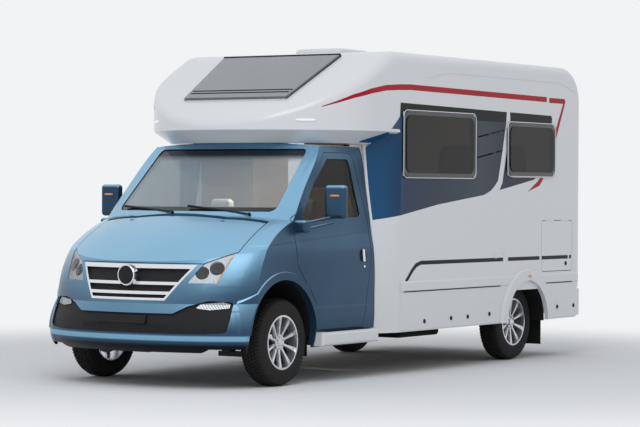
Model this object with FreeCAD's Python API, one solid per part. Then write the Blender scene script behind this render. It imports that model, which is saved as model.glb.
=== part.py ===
import FreeCAD, Part
import math
import os
from FreeCAD import Vector as V

os.makedirs("parts", exist_ok=True)

# Driving dimensions of the motorhome in millimetres, origin on the ground at the middle of its box,
# front towards -Y, vehicle left side towards +X
overall_length = 5900.0
body_width = 2160.0
body_height = 2745.0
cab_width = 1980.0
cab_height = 1960.0
wheelbase = 3850.0
front_overhang = 913.0
track = 1710.0
tyre_diameter = 700.0
tyre_width = 195.0
rim_diameter = 436.0
running_gap = 6.0
seat_gap = 0.3
overrun = 50.0

front_y = -overall_length / 2
rear_y = overall_length / 2
front_axle_y = front_y + front_overhang
rear_axle_y = front_axle_y + wheelbase
axle_z = tyre_diameter / 2
half_body = body_width / 2
half_cab = cab_width / 2

# Cab shell
cab_length = 2230.0
cab_rear_y = front_y + cab_length
cab_roof_wall = 30.0
cab_side_wall = 55.0

# Living body
body_gap = 265.0
bumper_reach = 25.0
body_front_y = cab_rear_y + body_gap
body_back_y = rear_y - bumper_reach
panel_wall = 30.0
edge_radius = 85.0
inner_edge_radius = 30.0
rear_top_radius = 330.0
skirt_z = 362.0
floor_top_z = 700.0
floor_depth = 45.0
headroom = body_height - floor_top_z

# Overcab nose
nose_side_length = 395.0
nose_start_y = body_front_y - nose_side_length
nose_depth = 870.0
nose_taper = 105.0
nose_sink = 5.0
nose_corner_radius = 600.0
nose_low_z = cab_height - nose_sink
nose_chine_z = nose_low_z + nose_taper
nose_chine_inset = 150.0
slope_reach = 850.0
slope_end = 125.0
slope_foot_share = 0.1168
slope_low_y = nose_start_y - slope_reach
slope_low_z = nose_chine_z + slope_foot_share * (body_height - nose_chine_z)
slope_high_y = body_front_y - slope_end
slope_round = 400.0

# Wheels and arches
front_arch_radius = 470.0
front_arch_lead = 45.0
front_arch_rise = 30.0
front_arch_y = front_axle_y - front_arch_lead
front_arch_z = axle_z + front_arch_rise
rear_arch_radius = 390.0
steer_x = 695.0


def box(x0, x1, y0, y1, z0, z1):
    """Block between two corners, given as low and high values on each axis."""
    return Part.makeBox(x1 - x0, y1 - y0, z1 - z0, V(x0, y0, z0))


def mirrored(shape):
    """Copy of a shape on the other side of the vehicle."""
    return shape.mirror(V(0, 0, 0), V(1, 0, 0))


def pair(shape):
    """A shape and its mirror copy, as two solids of one piece."""
    return [shape, mirrored(shape)]


def write(name, shapes):
    """Write the solids of one sub-part to its STEP file."""
    if not isinstance(shapes, list):
        shapes = [shapes]
    solids = [solid for shape in shapes for solid in shape.Solids]
    part = solids[0] if len(solids) == 1 else Part.makeCompound(solids)
    for solid in solids:
        if not solid.isValid():
            print("invalid solid in", name)
    part.exportStep("parts/" + name + ".step")


def on_plane(axis, level, u, w):
    """Point of an outline drawn on a plane across X, Y or Z."""
    if axis == "x":
        return V(level, u, w)
    if axis == "y":
        return V(u, level, w)
    return V(u, w, level)


def grown(points, distance):
    """Outline with each side moved outwards by a distance, corners kept sharp."""
    count = len(points)
    area = sum(points[i][0] * points[(i + 1) % count][1] - points[(i + 1) % count][0] * points[i][1]
               for i in range(count))
    side = distance if area > 0 else -distance
    moved = []
    for i in range(count):
        ax, ay = points[i - 1]
        bx, by = points[i]
        cx, cy = points[(i + 1) % count]
        la = math.hypot(bx - ax, by - ay)
        lb = math.hypot(cx - bx, cy - by)
        na = ((by - ay) / la, -(bx - ax) / la)
        nb = ((cy - by) / lb, -(cx - bx) / lb)
        k = side / (1 + na[0] * nb[0] + na[1] * nb[1])
        moved.append((bx + k * (na[0] + nb[0]), by + k * (na[1] + nb[1])))
    return moved


def rounded_face(axis, level, points, radius):
    """Flat face on a plane across an axis, its corners rounded to one radius."""
    corners = [on_plane(axis, level, u, w) for u, w in points]
    count = len(corners)
    edges = []
    ends = []
    for i in range(count):
        a, b, c = corners[i - 1], corners[i], corners[(i + 1) % count]
        to_a = (a - b).normalize()
        to_c = (c - b).normalize()
        half = to_a.getAngle(to_c) / 2
        reach = min(radius / math.tan(half), (a - b).Length / 2.01, (c - b).Length / 2.01)
        r = reach * math.tan(half)
        centre = b + (to_a + to_c).normalize() * (r / math.sin(half))
        middle = centre + (b - centre).normalize() * r
        ends.append((b + to_a * reach, middle, b + to_c * reach))
    for i in range(count):
        start, middle, end = ends[i]
        edges.append(Part.Arc(start, middle, end).toShape())
        edges.append(Part.LineSegment(end, ends[(i + 1) % count][0]).toShape())
    return Part.Face(Part.Wire(edges))


def flat_face(axis, level, points):
    """Flat face with sharp corners on a plane across an axis."""
    corners = [on_plane(axis, level, u, w) for u, w in points]
    return Part.Face(Part.makePolygon(corners + [corners[0]]))


def prism(axis, low, high, points, radius=0, lean=0):
    """Outline pushed along an axis from low to high, leaning by a share of its travel along Y."""
    face = rounded_face(axis, low, points, radius) if radius else flat_face(axis, low, points)
    travel = {"x": V(1, lean, 0), "y": V(0, 1, 0), "z": V(0, lean, 1)}[axis]
    return face.extrude(travel * (high - low))


def fused(shapes):
    """Union of several shapes with its seams removed."""
    return shapes[0].multiFuse(shapes[1:]).removeSplitter()


def largest(shape):
    """The biggest solid of a shape."""
    return max(shape.Solids, key=lambda solid: solid.Volume)


def front_points(shares):
    """Outline on the front view from shares of the cab's half width and height."""
    return [(x * half_cab, z * cab_height) for x, z in shares]


def side_points(shares):
    """Outline on the side view from shares of the cab's length, counted from the front, and its height."""
    return [(front_y + y * cab_length, z * cab_height) for y, z in shares]


def plan_points(shares):
    """Outline on the plan from shares of the cab's half width and length."""
    return [(x * half_cab, front_y + y * cab_length) for x, y in shares]


# Cab form. Each row of the side outline, from the skirt below the bumper lip up to the screen head, has its
# place on the centre line, the depth by which it sweeps back at the corners and the rise that it makes there,
# as shares of the cab's length and height
cab_row_shares = {
    "skirt": (0.0404, 0.148, 0.2332, 0.0),
    "lip": (0.0054, 0.2194, 0.2422, 0.0),
    "brow": (0.017, 0.2908, 0.2511, 0.0),
    "top": (0.035, 0.3418, 0.2691, 0.0),
    "face": (0.0605, 0.4235, 0.2511, 0.0102),
    "edge": (0.0919, 0.5077, 0.3139, 0.0561),
    "crown": (0.2242, 0.6122, 0.2511, 0.0102),
    "foot": (0.3722, 0.6939, 0.1883, -0.0255),
    "head": (0.7108, 0.9974, 0.0314, -0.0255),
}
cab_rows = {name: (front_y + y * cab_length, z * cab_height, sweep * cab_length, rise * cab_height)
            for name, (y, z, sweep, rise) in cab_row_shares.items()}
sweep_margin = 60.0
station_shares = (0.0, 0.35, 0.62, 0.80, 0.92, 1.01)
sweep_width = half_cab + sweep_margin
cab_side_shares = ((0.965, 0.148), (0.995, 0.230), (1.0, 0.357), (0.996, 0.510), (0.985, 0.561),
                   (0.965, 0.612), (0.945, 0.689), (0.905, 0.816), (0.865, 0.944), (0.836, 0.985))
rise_power = 3


def outline_point(row, x):
    """Point of one row at a station, with the row's sweep and rise."""
    y, z, sweep, rise = cab_rows[row]
    share = x / sweep_width
    y += sweep * (1 - math.sqrt(1 - share * share))
    z += rise * (x / half_cab) ** rise_power
    return y, z


def inset_outline(points, depth):
    """Side outline moved inwards by a wall depth along its own normals."""
    moved = []
    last = len(points) - 1
    for i, (y, z) in enumerate(points):
        ay, az = points[max(i - 1, 0)]
        by, bz = points[min(i + 1, last)]
        run = math.hypot(by - ay, bz - az)
        moved.append((y + depth * (bz - az) / run, z - depth * (by - ay) / run))
    return moved


def station_wire(x, depth):
    """Closed side outline of the cab at one station, moved inwards by a wall depth."""
    points = inset_outline([outline_point(row, abs(x)) for row in cab_rows], depth)
    skirt, lip, brow, top, face, edge, crown, foot, head = [V(x, y, z) for y, z in points]
    bumper = Part.BSplineCurve()
    bumper.interpolate([skirt, lip, brow, top])
    curves = [bumper, Part.Arc(top, face, edge), Part.Arc(edge, crown, foot), Part.LineSegment(foot, head)]
    roof_end = V(x, cab_rear_y + overrun, head.z)
    low_end = V(x, cab_rear_y + overrun, skirt.z)
    curves += [Part.LineSegment(head, roof_end), Part.LineSegment(roof_end, low_end)]
    curves.append(Part.LineSegment(low_end, skirt))
    return Part.Wire([curve.toShape() for curve in curves])


def cab_form(depth, side_depth):
    """Solid of the cab outside, or of its inside where depths are given."""
    shares = [-share for share in station_shares[:0:-1]] + list(station_shares)
    form = Part.makeLoft([station_wire(share * half_cab, depth) for share in shares], True, False)
    sides = [V(x * half_cab - side_depth, front_y - overrun, z * cab_height) for x, z in cab_side_shares]
    right = Part.BSplineCurve()
    right.interpolate(sides)
    left = right.toShape().mirror(V(0, 0, 0), V(1, 0, 0))
    foot, brow = sides[0], sides[-1]
    peak = V(brow.x - cab_side_wall, brow.y, cab_height + overrun)
    far_peak, far_brow, far_foot = [V(-p.x, p.y, p.z) for p in (peak, brow, foot)]
    closing = [(brow, peak), (peak, far_peak), (far_peak, far_brow), (far_foot, foot)]
    edges = [right.toShape(), left] + [Part.LineSegment(a, b).toShape() for a, b in closing]
    envelope = Part.Face(Part.Wire(Part.__sortEdges__(edges))).extrude(V(0, overall_length / 2, 0))
    return form.common(envelope)


# Openings in the cab skin, as outlines on the plane that each is drawn on
bonnet_plan = plan_points([(0.8192, 0.2152), (0.8081, 0.3946), (0.4545, 0.3587)])
cowl_gap = 38.0
bonnet_front = front_points([(0.6101, 0.5026), (0.8192, 0.55)])
screen_front = front_points([(0.796, 0.7082), (0.7495, 0.9719)])
screen_corner = 45.0
grille_front = front_points([(0.5657, 0.4974), (0.3636, 0.3546)])
lamp_front = front_points([(0.5152, 0.4245), (0.7535, 0.4245), (0.8192, 0.5469), (0.6101, 0.4995)])
bumper_top_share = 0.4158
bumper_top_z = bumper_top_share * cab_height
bumper_end = 160.0
bumper_back_y = front_axle_y - bumper_end
door_side = side_points([(0.6121, 0.2194), (0.6054, 0.3163), (0.5247, 0.4286), (0.4776, 0.4949),
                     (0.4776, 0.6786), (0.5493, 0.7367), (0.6368, 0.8485), (0.7489, 0.9551),
                     (0.9238, 0.9551), (0.9359, 0.9276), (0.9834, 0.6551), (0.9798, 0.5357),
                     (0.9193, 0.2194)])
door_corner = 22.0
door_lean_share = 0.12
window_side = side_points([(0.5314, 0.6582), (0.5605, 0.7143), (0.6502, 0.8291), (0.7556, 0.9296),
                     (0.8991, 0.9296), (0.9081, 0.8929), (0.9372, 0.6862), (0.796, 0.6811)])
window_corner = 30.0
hinge_sink = 6.0
hinge_lead = 2.2
hinge_x = half_cab - hinge_sink
hinge_y = min(y for y, z in door_side) - hinge_lead
barrel_radius = 3.5
barrel_length = 30.0
hinge_heights = (975.0, 1022.0)
glass_depth = 8.0
glass_thickness = 5.0


def both_sides(points):
    """Outline of a symmetric opening from the points of its left half."""
    return points + [(-u, w) for u, w in points[::-1]]


def cab_side_prism(points, radius, growth):
    """Cutter for the left door or its window, leaning as the door's edges do."""
    start = half_cab + overrun
    shift = door_lean_share * overrun
    outline = [(y + shift, z) for y, z in grown(points, growth)]
    return prism("x", start, half_cab / 2, outline, radius + growth, door_lean_share)


def arch_cutter(y, z, radius, inner_x):
    """Cylinder across one wheel arch of the left side."""
    return Part.makeCylinder(radius, half_body, V(inner_x, y, z), V(1, 0, 0))


def bonnet_cutter(growth, back_shift):
    """Volume that holds the bonnet, above its front line and inside its plan."""
    tip, corner, back = bonnet_plan
    plan = both_sides([(tip[0], front_y - overrun), tip, (corner[0], corner[1] + back_shift), (back[0], back[1] + back_shift)])
    front = both_sides(bonnet_front + [(bonnet_front[1][0] + overrun, cab_height)])
    above = prism("y", front_y - overrun, corner[1] + 2 * overrun, grown(front, growth))
    return prism("z", bonnet_front[0][1] - overrun, cab_height, grown(plan, growth)).common(above)


def front_cutter(points, radius, growth, back_y):
    """Prism through the front of the cab for a grille, lamp or screen outline."""
    return prism("y", front_y - overrun, back_y, grown(points, growth), radius)


# Flares of the front arches and bowls of the headlamps
arch_flare_width = 66.0
arch_flare_proud = 11.0
arch_flare_slope = 0.6
arch_flare_back_y = min(y for y, z in door_side if z < axle_z + front_arch_radius) - running_gap
bowl_radius = 62.0
bowl_depth = 24.0
bowl_centres = front_points([(0.6061, 0.4592), (0.7071, 0.4796)])


def arch_flares():
    """The two flared lips, standing proud of the cab skin round the front arches."""
    start = half_cab - 2 * overrun
    reach = 2 * overrun + arch_flare_proud
    rim = front_arch_radius + arch_flare_width
    foot = rim + arch_flare_slope * 2 * overrun
    cone = Part.makeCone(foot, foot - arch_flare_slope * reach, reach, V(start, front_arch_y, front_arch_z), V(1, 0, 0))
    zone = box(start, half_body, front_y, arch_flare_back_y, cab_rows["lip"][1], cab_height)
    lip = cone.common(zone).common(cab_form(-arch_flare_proud, -arch_flare_proud))
    return [lip, mirrored(lip)]


def lamp_bowls():
    """Round reflector hollows sunk into the left lamp housing from the front."""
    bowls = []
    for x, z in bowl_centres:
        face = outline_point("edge", x)[0] - bowl_depth
        bowls.append(Part.makeSphere(bowl_radius, V(x, face, z)))
    return bowls


def make_cab():
    """Cab skin with its doors, bonnet, bumper, glass, grille and lamps."""
    outer = cab_form(0, 0)
    inner_form = cab_form(cab_roof_wall, cab_side_wall)
    deep_form = cab_form(cab_roof_wall + backing_wall, cab_side_wall + backing_wall)
    lens_back = cab_form(glass_depth, glass_depth)
    shell = outer.fuse(arch_flares()).cut(inner_form)
    glazing = lens_back.cut(cab_form(glass_depth + glass_thickness, glass_depth + glass_thickness))
    inner_x = half_cab - cab_side_wall
    skirt_z = cab_rows["skirt"][1]
    below = box(-inner_x, inner_x, cab_rows["edge"][0], 0, skirt_z - overrun, skirt_z + cab_roof_wall)
    behind = box(-half_body, half_body, cab_rear_y, 0, 0, cab_height + overrun)
    arches = [arch_cutter(front_arch_y, front_arch_z, front_arch_radius, half_cab / 2)]
    arches.append(mirrored(arches[0]))
    shell = shell.cut([below, behind] + arches)

    screen = front_cutter(both_sides(screen_front), screen_corner, 0, cab_rows["head"][0] + 2 * overrun)
    screen_zone = box(-half_cab, half_cab, cab_rows["foot"][0] - overrun, 0, 0, cab_height)
    screen = screen.common(screen_zone)
    write("windscreen", largest(glazing.common(screen)))

    grille = front_cutter(both_sides(grille_front), 0, 0, cab_rows["crown"][0])
    lamp = front_cutter(lamp_front, 0, 0, cab_rows["crown"][0] + 2 * overrun)
    lamps = [lamp, mirrored(lamp)]
    lens = outer.cut(lens_back)
    housing = cab_form(glass_depth + seat_gap, glass_depth + seat_gap).cut(deep_form)
    housing = largest(housing.common(lamp)).cut(lamp_bowls())
    write("lamp_housings", pair(largest(housing)))

    bumper_zone = box(-half_body, half_body, front_y - overrun, bumper_back_y, 0, bumper_top_z)
    bumper = shell.common(bumper_zone).cut([grille] + lamps)
    insert = front_cutter(both_sides(insert_front), insert_corner, 0, cab_rows["crown"][0])
    fog_back = cab_rows["crown"][0]
    fog_hole = front_cutter(fog_front, fog_corner, seat_gap, fog_back)
    recessed = bumper.common(insert).common(cab_form(insert_recess, insert_recess))
    write("bumper_insert", largest(recessed.cut([fog_hole, mirrored(fog_hole)])))
    write("front_bumper", largest(bumper.cut(insert)))
    fog = largest(bumper.common(lens_back).common(front_cutter(fog_front, fog_corner, 0, fog_back)))
    write("headlamps", pair(largest(lens.common(lamp))) + pair(fog))

    bonnet = largest(shell.common(bonnet_cutter(0, 0)).cut([grille] + lamps))
    arm = bonnet_hinge_arm()
    write("bonnet", fused([bonnet, arm, mirrored(arm)]))
    bracket = bonnet_hinge_bracket()

    door_zone = cab_side_prism(door_side, door_corner, 0)
    window = cab_side_prism(window_side, window_corner, 0)
    door = largest(shell.common(door_zone).cut(window))
    barrels = [Part.makeCylinder(barrel_radius, barrel_length, V(hinge_x, hinge_y, z)) for z in hinge_heights]
    door = fused([door] + barrels + mirror_pieces())
    glass = largest(glazing.common(window))
    write("cab_door_left", door)
    write("cab_door_right", mirrored(door))
    write("door_glass_left", glass)
    write("door_glass_right", mirrored(glass))

    aperture = cab_side_prism(door_side, door_corner, running_gap)
    walk_through = box(-walk_half, walk_half, walk_front_y, 0, cab_rows["foot"][1], cab_height)
    body = shell.cut([bumper_zone, screen, grille, bonnet_cutter(running_gap, cowl_gap), aperture,
                      mirrored(aperture), walk_through] + lamps)
    write("cab_shell", fused([largest(body), bracket, mirrored(bracket)]))
    lining = inner_form.cut(deep_form)
    write("grille_backing", largest(lining.common(grille)))
    write("grille", make_grille(largest(shell.common(grille))))
    write("wipers", [blade.cut(outer) for blade in wiper_solids()])
    return outer


# Black insert of the front bumper
insert_front = front_points([(0.7071, 0.2245), (0.8747, 0.2306), (0.8848, 0.2857), (0.8747, 0.351),
                              (0.7071, 0.3556), (0.5657, 0.3342), (0.4545, 0.3041)])
fog_front = front_points([(0.6162, 0.3265), (0.6566, 0.3429), (0.8081, 0.35), (0.8545, 0.3429),
                           (0.8545, 0.3265), (0.7273, 0.3194)])
insert_corner = 25.0
insert_recess = 16.0
fog_corner = 9.0

# Bonnet hinges, one at each rear corner under the skin
bonnet_hinge_share = (0.4343, 0.37, 0.6714)
bonnet_hinge_x = bonnet_hinge_share[0] * half_cab
bonnet_hinge_y = front_y + bonnet_hinge_share[1] * cab_length
bonnet_hinge_z = bonnet_hinge_share[2] * cab_height
bonnet_arm = (40.0, 60.0, 16.0)


def bonnet_hinge_arm():
    """Left arm and barrel of the bonnet's hinge."""
    wide, long, thick = bonnet_arm
    arm = box(bonnet_hinge_x, bonnet_hinge_x + wide, bonnet_hinge_y - long, bonnet_hinge_y,
              bonnet_hinge_z - barrel_radius - thick / 2, bonnet_hinge_z)
    barrel = Part.makeCylinder(barrel_radius, wide, V(bonnet_hinge_x, bonnet_hinge_y, bonnet_hinge_z), V(1, 0, 0))
    return fused([arm, barrel])


def bonnet_hinge_bracket():
    """Left bracket under the cowl, its nose just clear of the barrel."""
    wide, long, thick = bonnet_arm
    front = bonnet_hinge_y + barrel_radius + seat_gap
    return box(bonnet_hinge_x, bonnet_hinge_x + wide, front, front + long / 2, bonnet_hinge_z - barrel_radius, bonnet_hinge_z + thick)


# Grille bars on the centre line, and the plain disc in the upper bar's gap
backing_wall = 10.0
grille_rim = 18.0
grille_bars = ((815.0, 839.0), (740.0, 764.0))
grille_top_bar = 942.0
disc_z = 888.0
disc_radius = 84.0
disc_depth = 42.0
disc_proud = 30.0


def make_grille(zone):
    """Chrome grille cut from the cab skin: rim, bars and the plain round disc."""
    hole = front_cutter(grown(both_sides(grille_front), -grille_rim), 0, 0, cab_rows["crown"][0])
    half = grille_front[0][0]
    back = cab_rows["crown"][0]
    bars = [box(-half, half, front_y, back, low, high) for low, high in grille_bars]
    bars.append(box(-half, half, front_y, back, grille_top_bar, grille_front[0][1]))
    front = cab_rows["face"][0] - disc_proud
    disc = Part.makeCylinder(disc_radius, disc_depth, V(0, front, disc_z), V(0, 1, 0))
    return fused([zone.cut(hole), disc] + [largest(zone.common(bar)) for bar in bars])


# Wipers: places on the screen as half-width share and height share of each pivot and tip
wiper_place_shares = (((0.62, 0.02), (0.02, 0.10)), ((-0.10, 0.02), (-0.72, 0.12)))
wiper_lift = 14.0
wiper_arm_radius = 7.0
spindle_radius = 13.0


def screen_point(x_share, z_share, lift):
    """Point over the windscreen at shares of its width and height."""
    x = x_share * half_cab
    foot_y, foot_z = outline_point("foot", abs(x))
    head_y, head_z = outline_point("head", abs(x))
    angle = math.atan2(head_z - foot_z, head_y - foot_y)
    y = foot_y + (head_y - foot_y) * z_share - lift * math.sin(angle)
    z = foot_z + (head_z - foot_z) * z_share + lift * math.cos(angle)
    return V(x, y, z)


def wiper_solids():
    """Two wipers, each a spindle, an arm and a blade parked across the foot of the screen."""
    wipers = []
    for (px, pz), (tx, tz) in wiper_place_shares:
        pivot, tip = screen_point(px, pz, wiper_lift), screen_point(tx, tz, wiper_lift)
        base = screen_point(px, pz, -wiper_lift)
        near = pivot + (tip - pivot) * 0.25
        arm = Part.makeCylinder(wiper_arm_radius, (tip - pivot).Length, pivot, tip - pivot)
        spindle = Part.makeCylinder(spindle_radius, 2.5 * wiper_lift, base, pivot - base)
        blade = Part.makeCylinder(wiper_arm_radius * 1.3, (tip - near).Length, near, tip - near)
        wipers.append(fused([arm, spindle, blade]))
    return wipers


# Door mirrors
mirror_base_y = front_y + 1085.0
mirror_base_z = 1222.0
mirror_base = (150.0, 95.0, 100.0)
mirror_reach = 55.0
mirror_head_x = half_cab + mirror_reach
mirror_head_y = front_y + 1350.0
mirror_head_z = 1335.0
mirror_head = (195.0, 75.0, 270.0)
mirror_arm_radius = 9.0
mirror_arm_heights = (1250.0, 1300.0)


def mirror_pieces():
    """Mirror of the left door: its foot, two arms and head."""
    wide, deep, high = mirror_base
    foot = box(half_cab - wide / 2, half_cab + wide / 3, mirror_base_y, mirror_base_y + deep,
               mirror_base_z, mirror_base_z + high)
    foot = foot.makeFillet(deep / 4, foot.Edges)
    wide, deep, high = mirror_head
    head = box(mirror_head_x, mirror_head_x + wide, mirror_head_y, mirror_head_y + deep,
               mirror_head_z, mirror_head_z + high)
    head = head.makeFillet(deep / 2.5, head.Edges)
    pieces = [foot, head]
    for z in mirror_arm_heights:
        start = V(half_cab + overrun / 3, mirror_base_y + mirror_base[1] / 2, z)
        end = V(mirror_head_x + mirror_head[0] / 3, mirror_head_y + deep / 2, z + mirror_base[2] / 2)
        pieces.append(Part.makeCylinder(mirror_arm_radius, (end - start).Length, start, end - start))
    return pieces


# Cab inside
cab_floor_z = 530.0
cab_floor_thickness = 30.0
cab_floor_front_y = front_y + 1350.0
seat_x = 430.0
seat_front_y = front_y + 1580.0
seat_width = 480.0
seat_base_height = 160.0
seat_cushion = (500.0, 130.0)
seat_back = (110.0, 620.0)
seat_box_length = 410.0
seat_back_y = seat_front_y + seat_box_length
headrest = (260.0, 90.0, 160.0)
dash_points = side_points([(0.4439, 0.449), (0.4439, 0.6276), (0.5022, 0.6582), (0.6233, 0.6276),
                     (0.6502, 0.5765), (0.5964, 0.449)])
dash_inset = 140.0
dash_half_width = half_cab - dash_inset
wheel_radius = 195.0
wheel_tube = 14.0
wheel_y = front_y + 1550.0
wheel_z = 1085.0
column_radius = 28.0
wheel_tilt = 62.0


def make_cab_inside():
    """Cab floor with bulkhead and seat boxes, dashboard with its wheel, and the two seats."""
    inner_x = half_cab - cab_side_wall - seat_gap
    top = cab_floor_z + cab_floor_thickness
    floor = box(-inner_x, inner_x, cab_floor_front_y, body_front_y, cab_floor_z, top)
    bulkhead_x = front_arch_inner_x - running_gap
    dash_foot = dash_points[0]
    bulkhead = box(-bulkhead_x, bulkhead_x, dash_foot[0] - cab_floor_thickness, dash_foot[0], cab_floor_z, dash_points[1][1])
    tunnel = box(-bulkhead_x, bulkhead_x, dash_foot[0], cab_floor_front_y, cab_floor_z, top)
    pieces = [floor, bulkhead, tunnel]
    depth = seat_cushion[0]
    for side in (-1, 1):
        x = side * seat_x
        pieces.append(box(x - seat_width / 3, x + seat_width / 3, seat_front_y + depth / 8, seat_back_y,
                          top, top + seat_base_height))
    write("cab_floor", fused(pieces))

    dash = prism("x", -dash_half_width, dash_half_width, dash_points)
    tilt = math.radians(wheel_tilt)
    axis = V(0, math.sin(tilt), math.cos(tilt))
    hub = V(seat_x, wheel_y, wheel_z)
    rim = Part.makeTorus(wheel_radius, wheel_tube, hub, axis)
    column = Part.makeCylinder(column_radius, wheel_radius * 1.5, hub - axis * (wheel_radius * 1.5), axis)
    across = V(1, 0, 0)
    up = axis.cross(across)
    spokes = []
    for turn in (0, 90, 180):
        way = across * math.cos(math.radians(turn)) + up * -math.sin(math.radians(turn))
        spokes.append(Part.makeCylinder(wheel_tube, wheel_radius, hub, way))
    write("dashboard", fused([dash, rim, column] + spokes))

    solids = []
    base = top + seat_base_height + seat_gap
    depth, high = seat_cushion
    for side in (-1, 1):
        x = side * seat_x
        low, wide = x - seat_width / 2, x + seat_width / 2
        cushion = box(low, wide, seat_front_y, seat_front_y + depth - seat_back[0], base, base + high)
        back_y = seat_front_y + depth - seat_back[0] + seat_gap
        back = box(low, wide, back_y, back_y + seat_back[0], base, base + seat_back[1])
        rest_z = base + seat_back[1] + seat_gap
        rest = box(x - headrest[0] / 2, x + headrest[0] / 2, back_y, back_y + headrest[1], rest_z, rest_z + headrest[2])
        solids += [solid.makeFillet(seat_back[0] / 4, solid.Edges) for solid in (cushion, back, rest)]
    write("cab_seats", solids)


def at_height(share):
    """Height at a share of the headroom above the living floor."""
    return floor_top_z + share * headroom


# Living body windows, doors and panels
front_window = (body_front_y + 55.0, body_front_y + 1255.0, at_height(0.4890), at_height(0.7457))
rear_window = (body_back_y - 1480.0, body_back_y - 595.0, at_height(0.5012), at_height(0.7203))
kitchen_window = (body_back_y - 1625.0, body_back_y - 825.0, at_height(0.4401), at_height(0.6601))
back_window_share = 0.4444
back_window = (-back_window_share * half_body, back_window_share * half_body, at_height(0.3912), at_height(0.6357))
window_round = 90.0
frame_width = 30.0
frame_proud = 12.0
pane_thickness = 22.0
pane_proud = 8.0
service_door = (body_back_y - 815.0, body_back_y - 195.0, floor_top_z + 115.0, floor_top_z + 587.0)
service_round = 30.0
entry_door = (body_front_y + 755.0, body_front_y + 1395.0, floor_top_z - 15.0, at_height(0.7482))
entry_round = 60.0
entry_window = (body_front_y + 885.0, body_front_y + 1265.0, at_height(0.3667), at_height(0.6259))
body_barrel_radius = 4.0


def rectangle(bounds):
    """Corner points of a rectangle given as low and high values on two axes."""
    u0, u1, w0, w1 = bounds
    return [(u0, w0), (u1, w0), (u1, w1), (u0, w1)]


def side_cut(bounds, radius, growth, x0, x1):
    """Rounded rectangle pushed through a side panel."""
    return prism("x", x0, x1, grown(rectangle(bounds), growth), radius + growth)


def back_cut(bounds, radius, growth, y0, y1):
    """Rounded rectangle pushed through the rear panel."""
    return prism("y", y0, y1, grown(rectangle(bounds), growth), radius + growth)


def body_profile(inset, foot):
    """Side outline of the living body behind the nose, moved inwards by an inset."""
    top = body_height - inset
    back = body_back_y - inset
    radius = rear_top_radius - inset
    slant = radius * math.sqrt(0.5)
    front = body_front_y - (overrun if inset else 0)
    corners = [V(0, front, foot), V(0, back, foot), V(0, back, top - radius), V(0, back - radius, top), V(0, front, top)]
    middle = V(0, back - radius + slant, top - radius + slant)
    edges = [Part.LineSegment(corners[0], corners[1]), Part.LineSegment(corners[1], corners[2]),
             Part.Arc(corners[2], middle, corners[3]), Part.LineSegment(corners[3], corners[4]),
             Part.LineSegment(corners[4], corners[0])]
    return Part.Face(Part.Wire([edge.toShape() for edge in edges]))


def body_solid(inset, foot):
    """Living body as one solid with its long edges rounded, moved inwards by an inset."""
    half = half_body - inset
    solid = body_profile(inset, foot).extrude(V(2 * half, 0, 0))
    solid.translate(V(-half, 0, 0))
    rims = []
    for edge in solid.Edges:
        middle = edge.valueAt((edge.FirstParameter + edge.LastParameter) / 2)
        on_side = abs(abs(middle.x) - half) < seat_gap
        high = middle.z > foot + seat_gap and middle.y > body_front_y
        if on_side and high:
            rims.append(edge)
    return solid.makeFillet(inner_edge_radius if inset else edge_radius, rims)


def framed_window(node_solids, pane_solids, cutter, bounds, plane):
    """Frame ring and tinted pane of one window, set in its opening."""
    low = plane - panel_wall
    ring = cutter(bounds, window_round, frame_width / 2, low, plane + frame_proud)
    hole = cutter(bounds, window_round, -frame_width / 2, low - overrun, plane + frame_proud + overrun)
    flange = cutter(bounds, window_round, frame_width, plane, plane + frame_proud)
    node_solids.append(fused([ring, flange]).cut(hole))
    pane_low = plane + frame_proud + pane_proud - pane_thickness
    pane_solids.append(cutter(bounds, window_round, -frame_width / 2, pane_low, plane + frame_proud + pane_proud))


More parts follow.
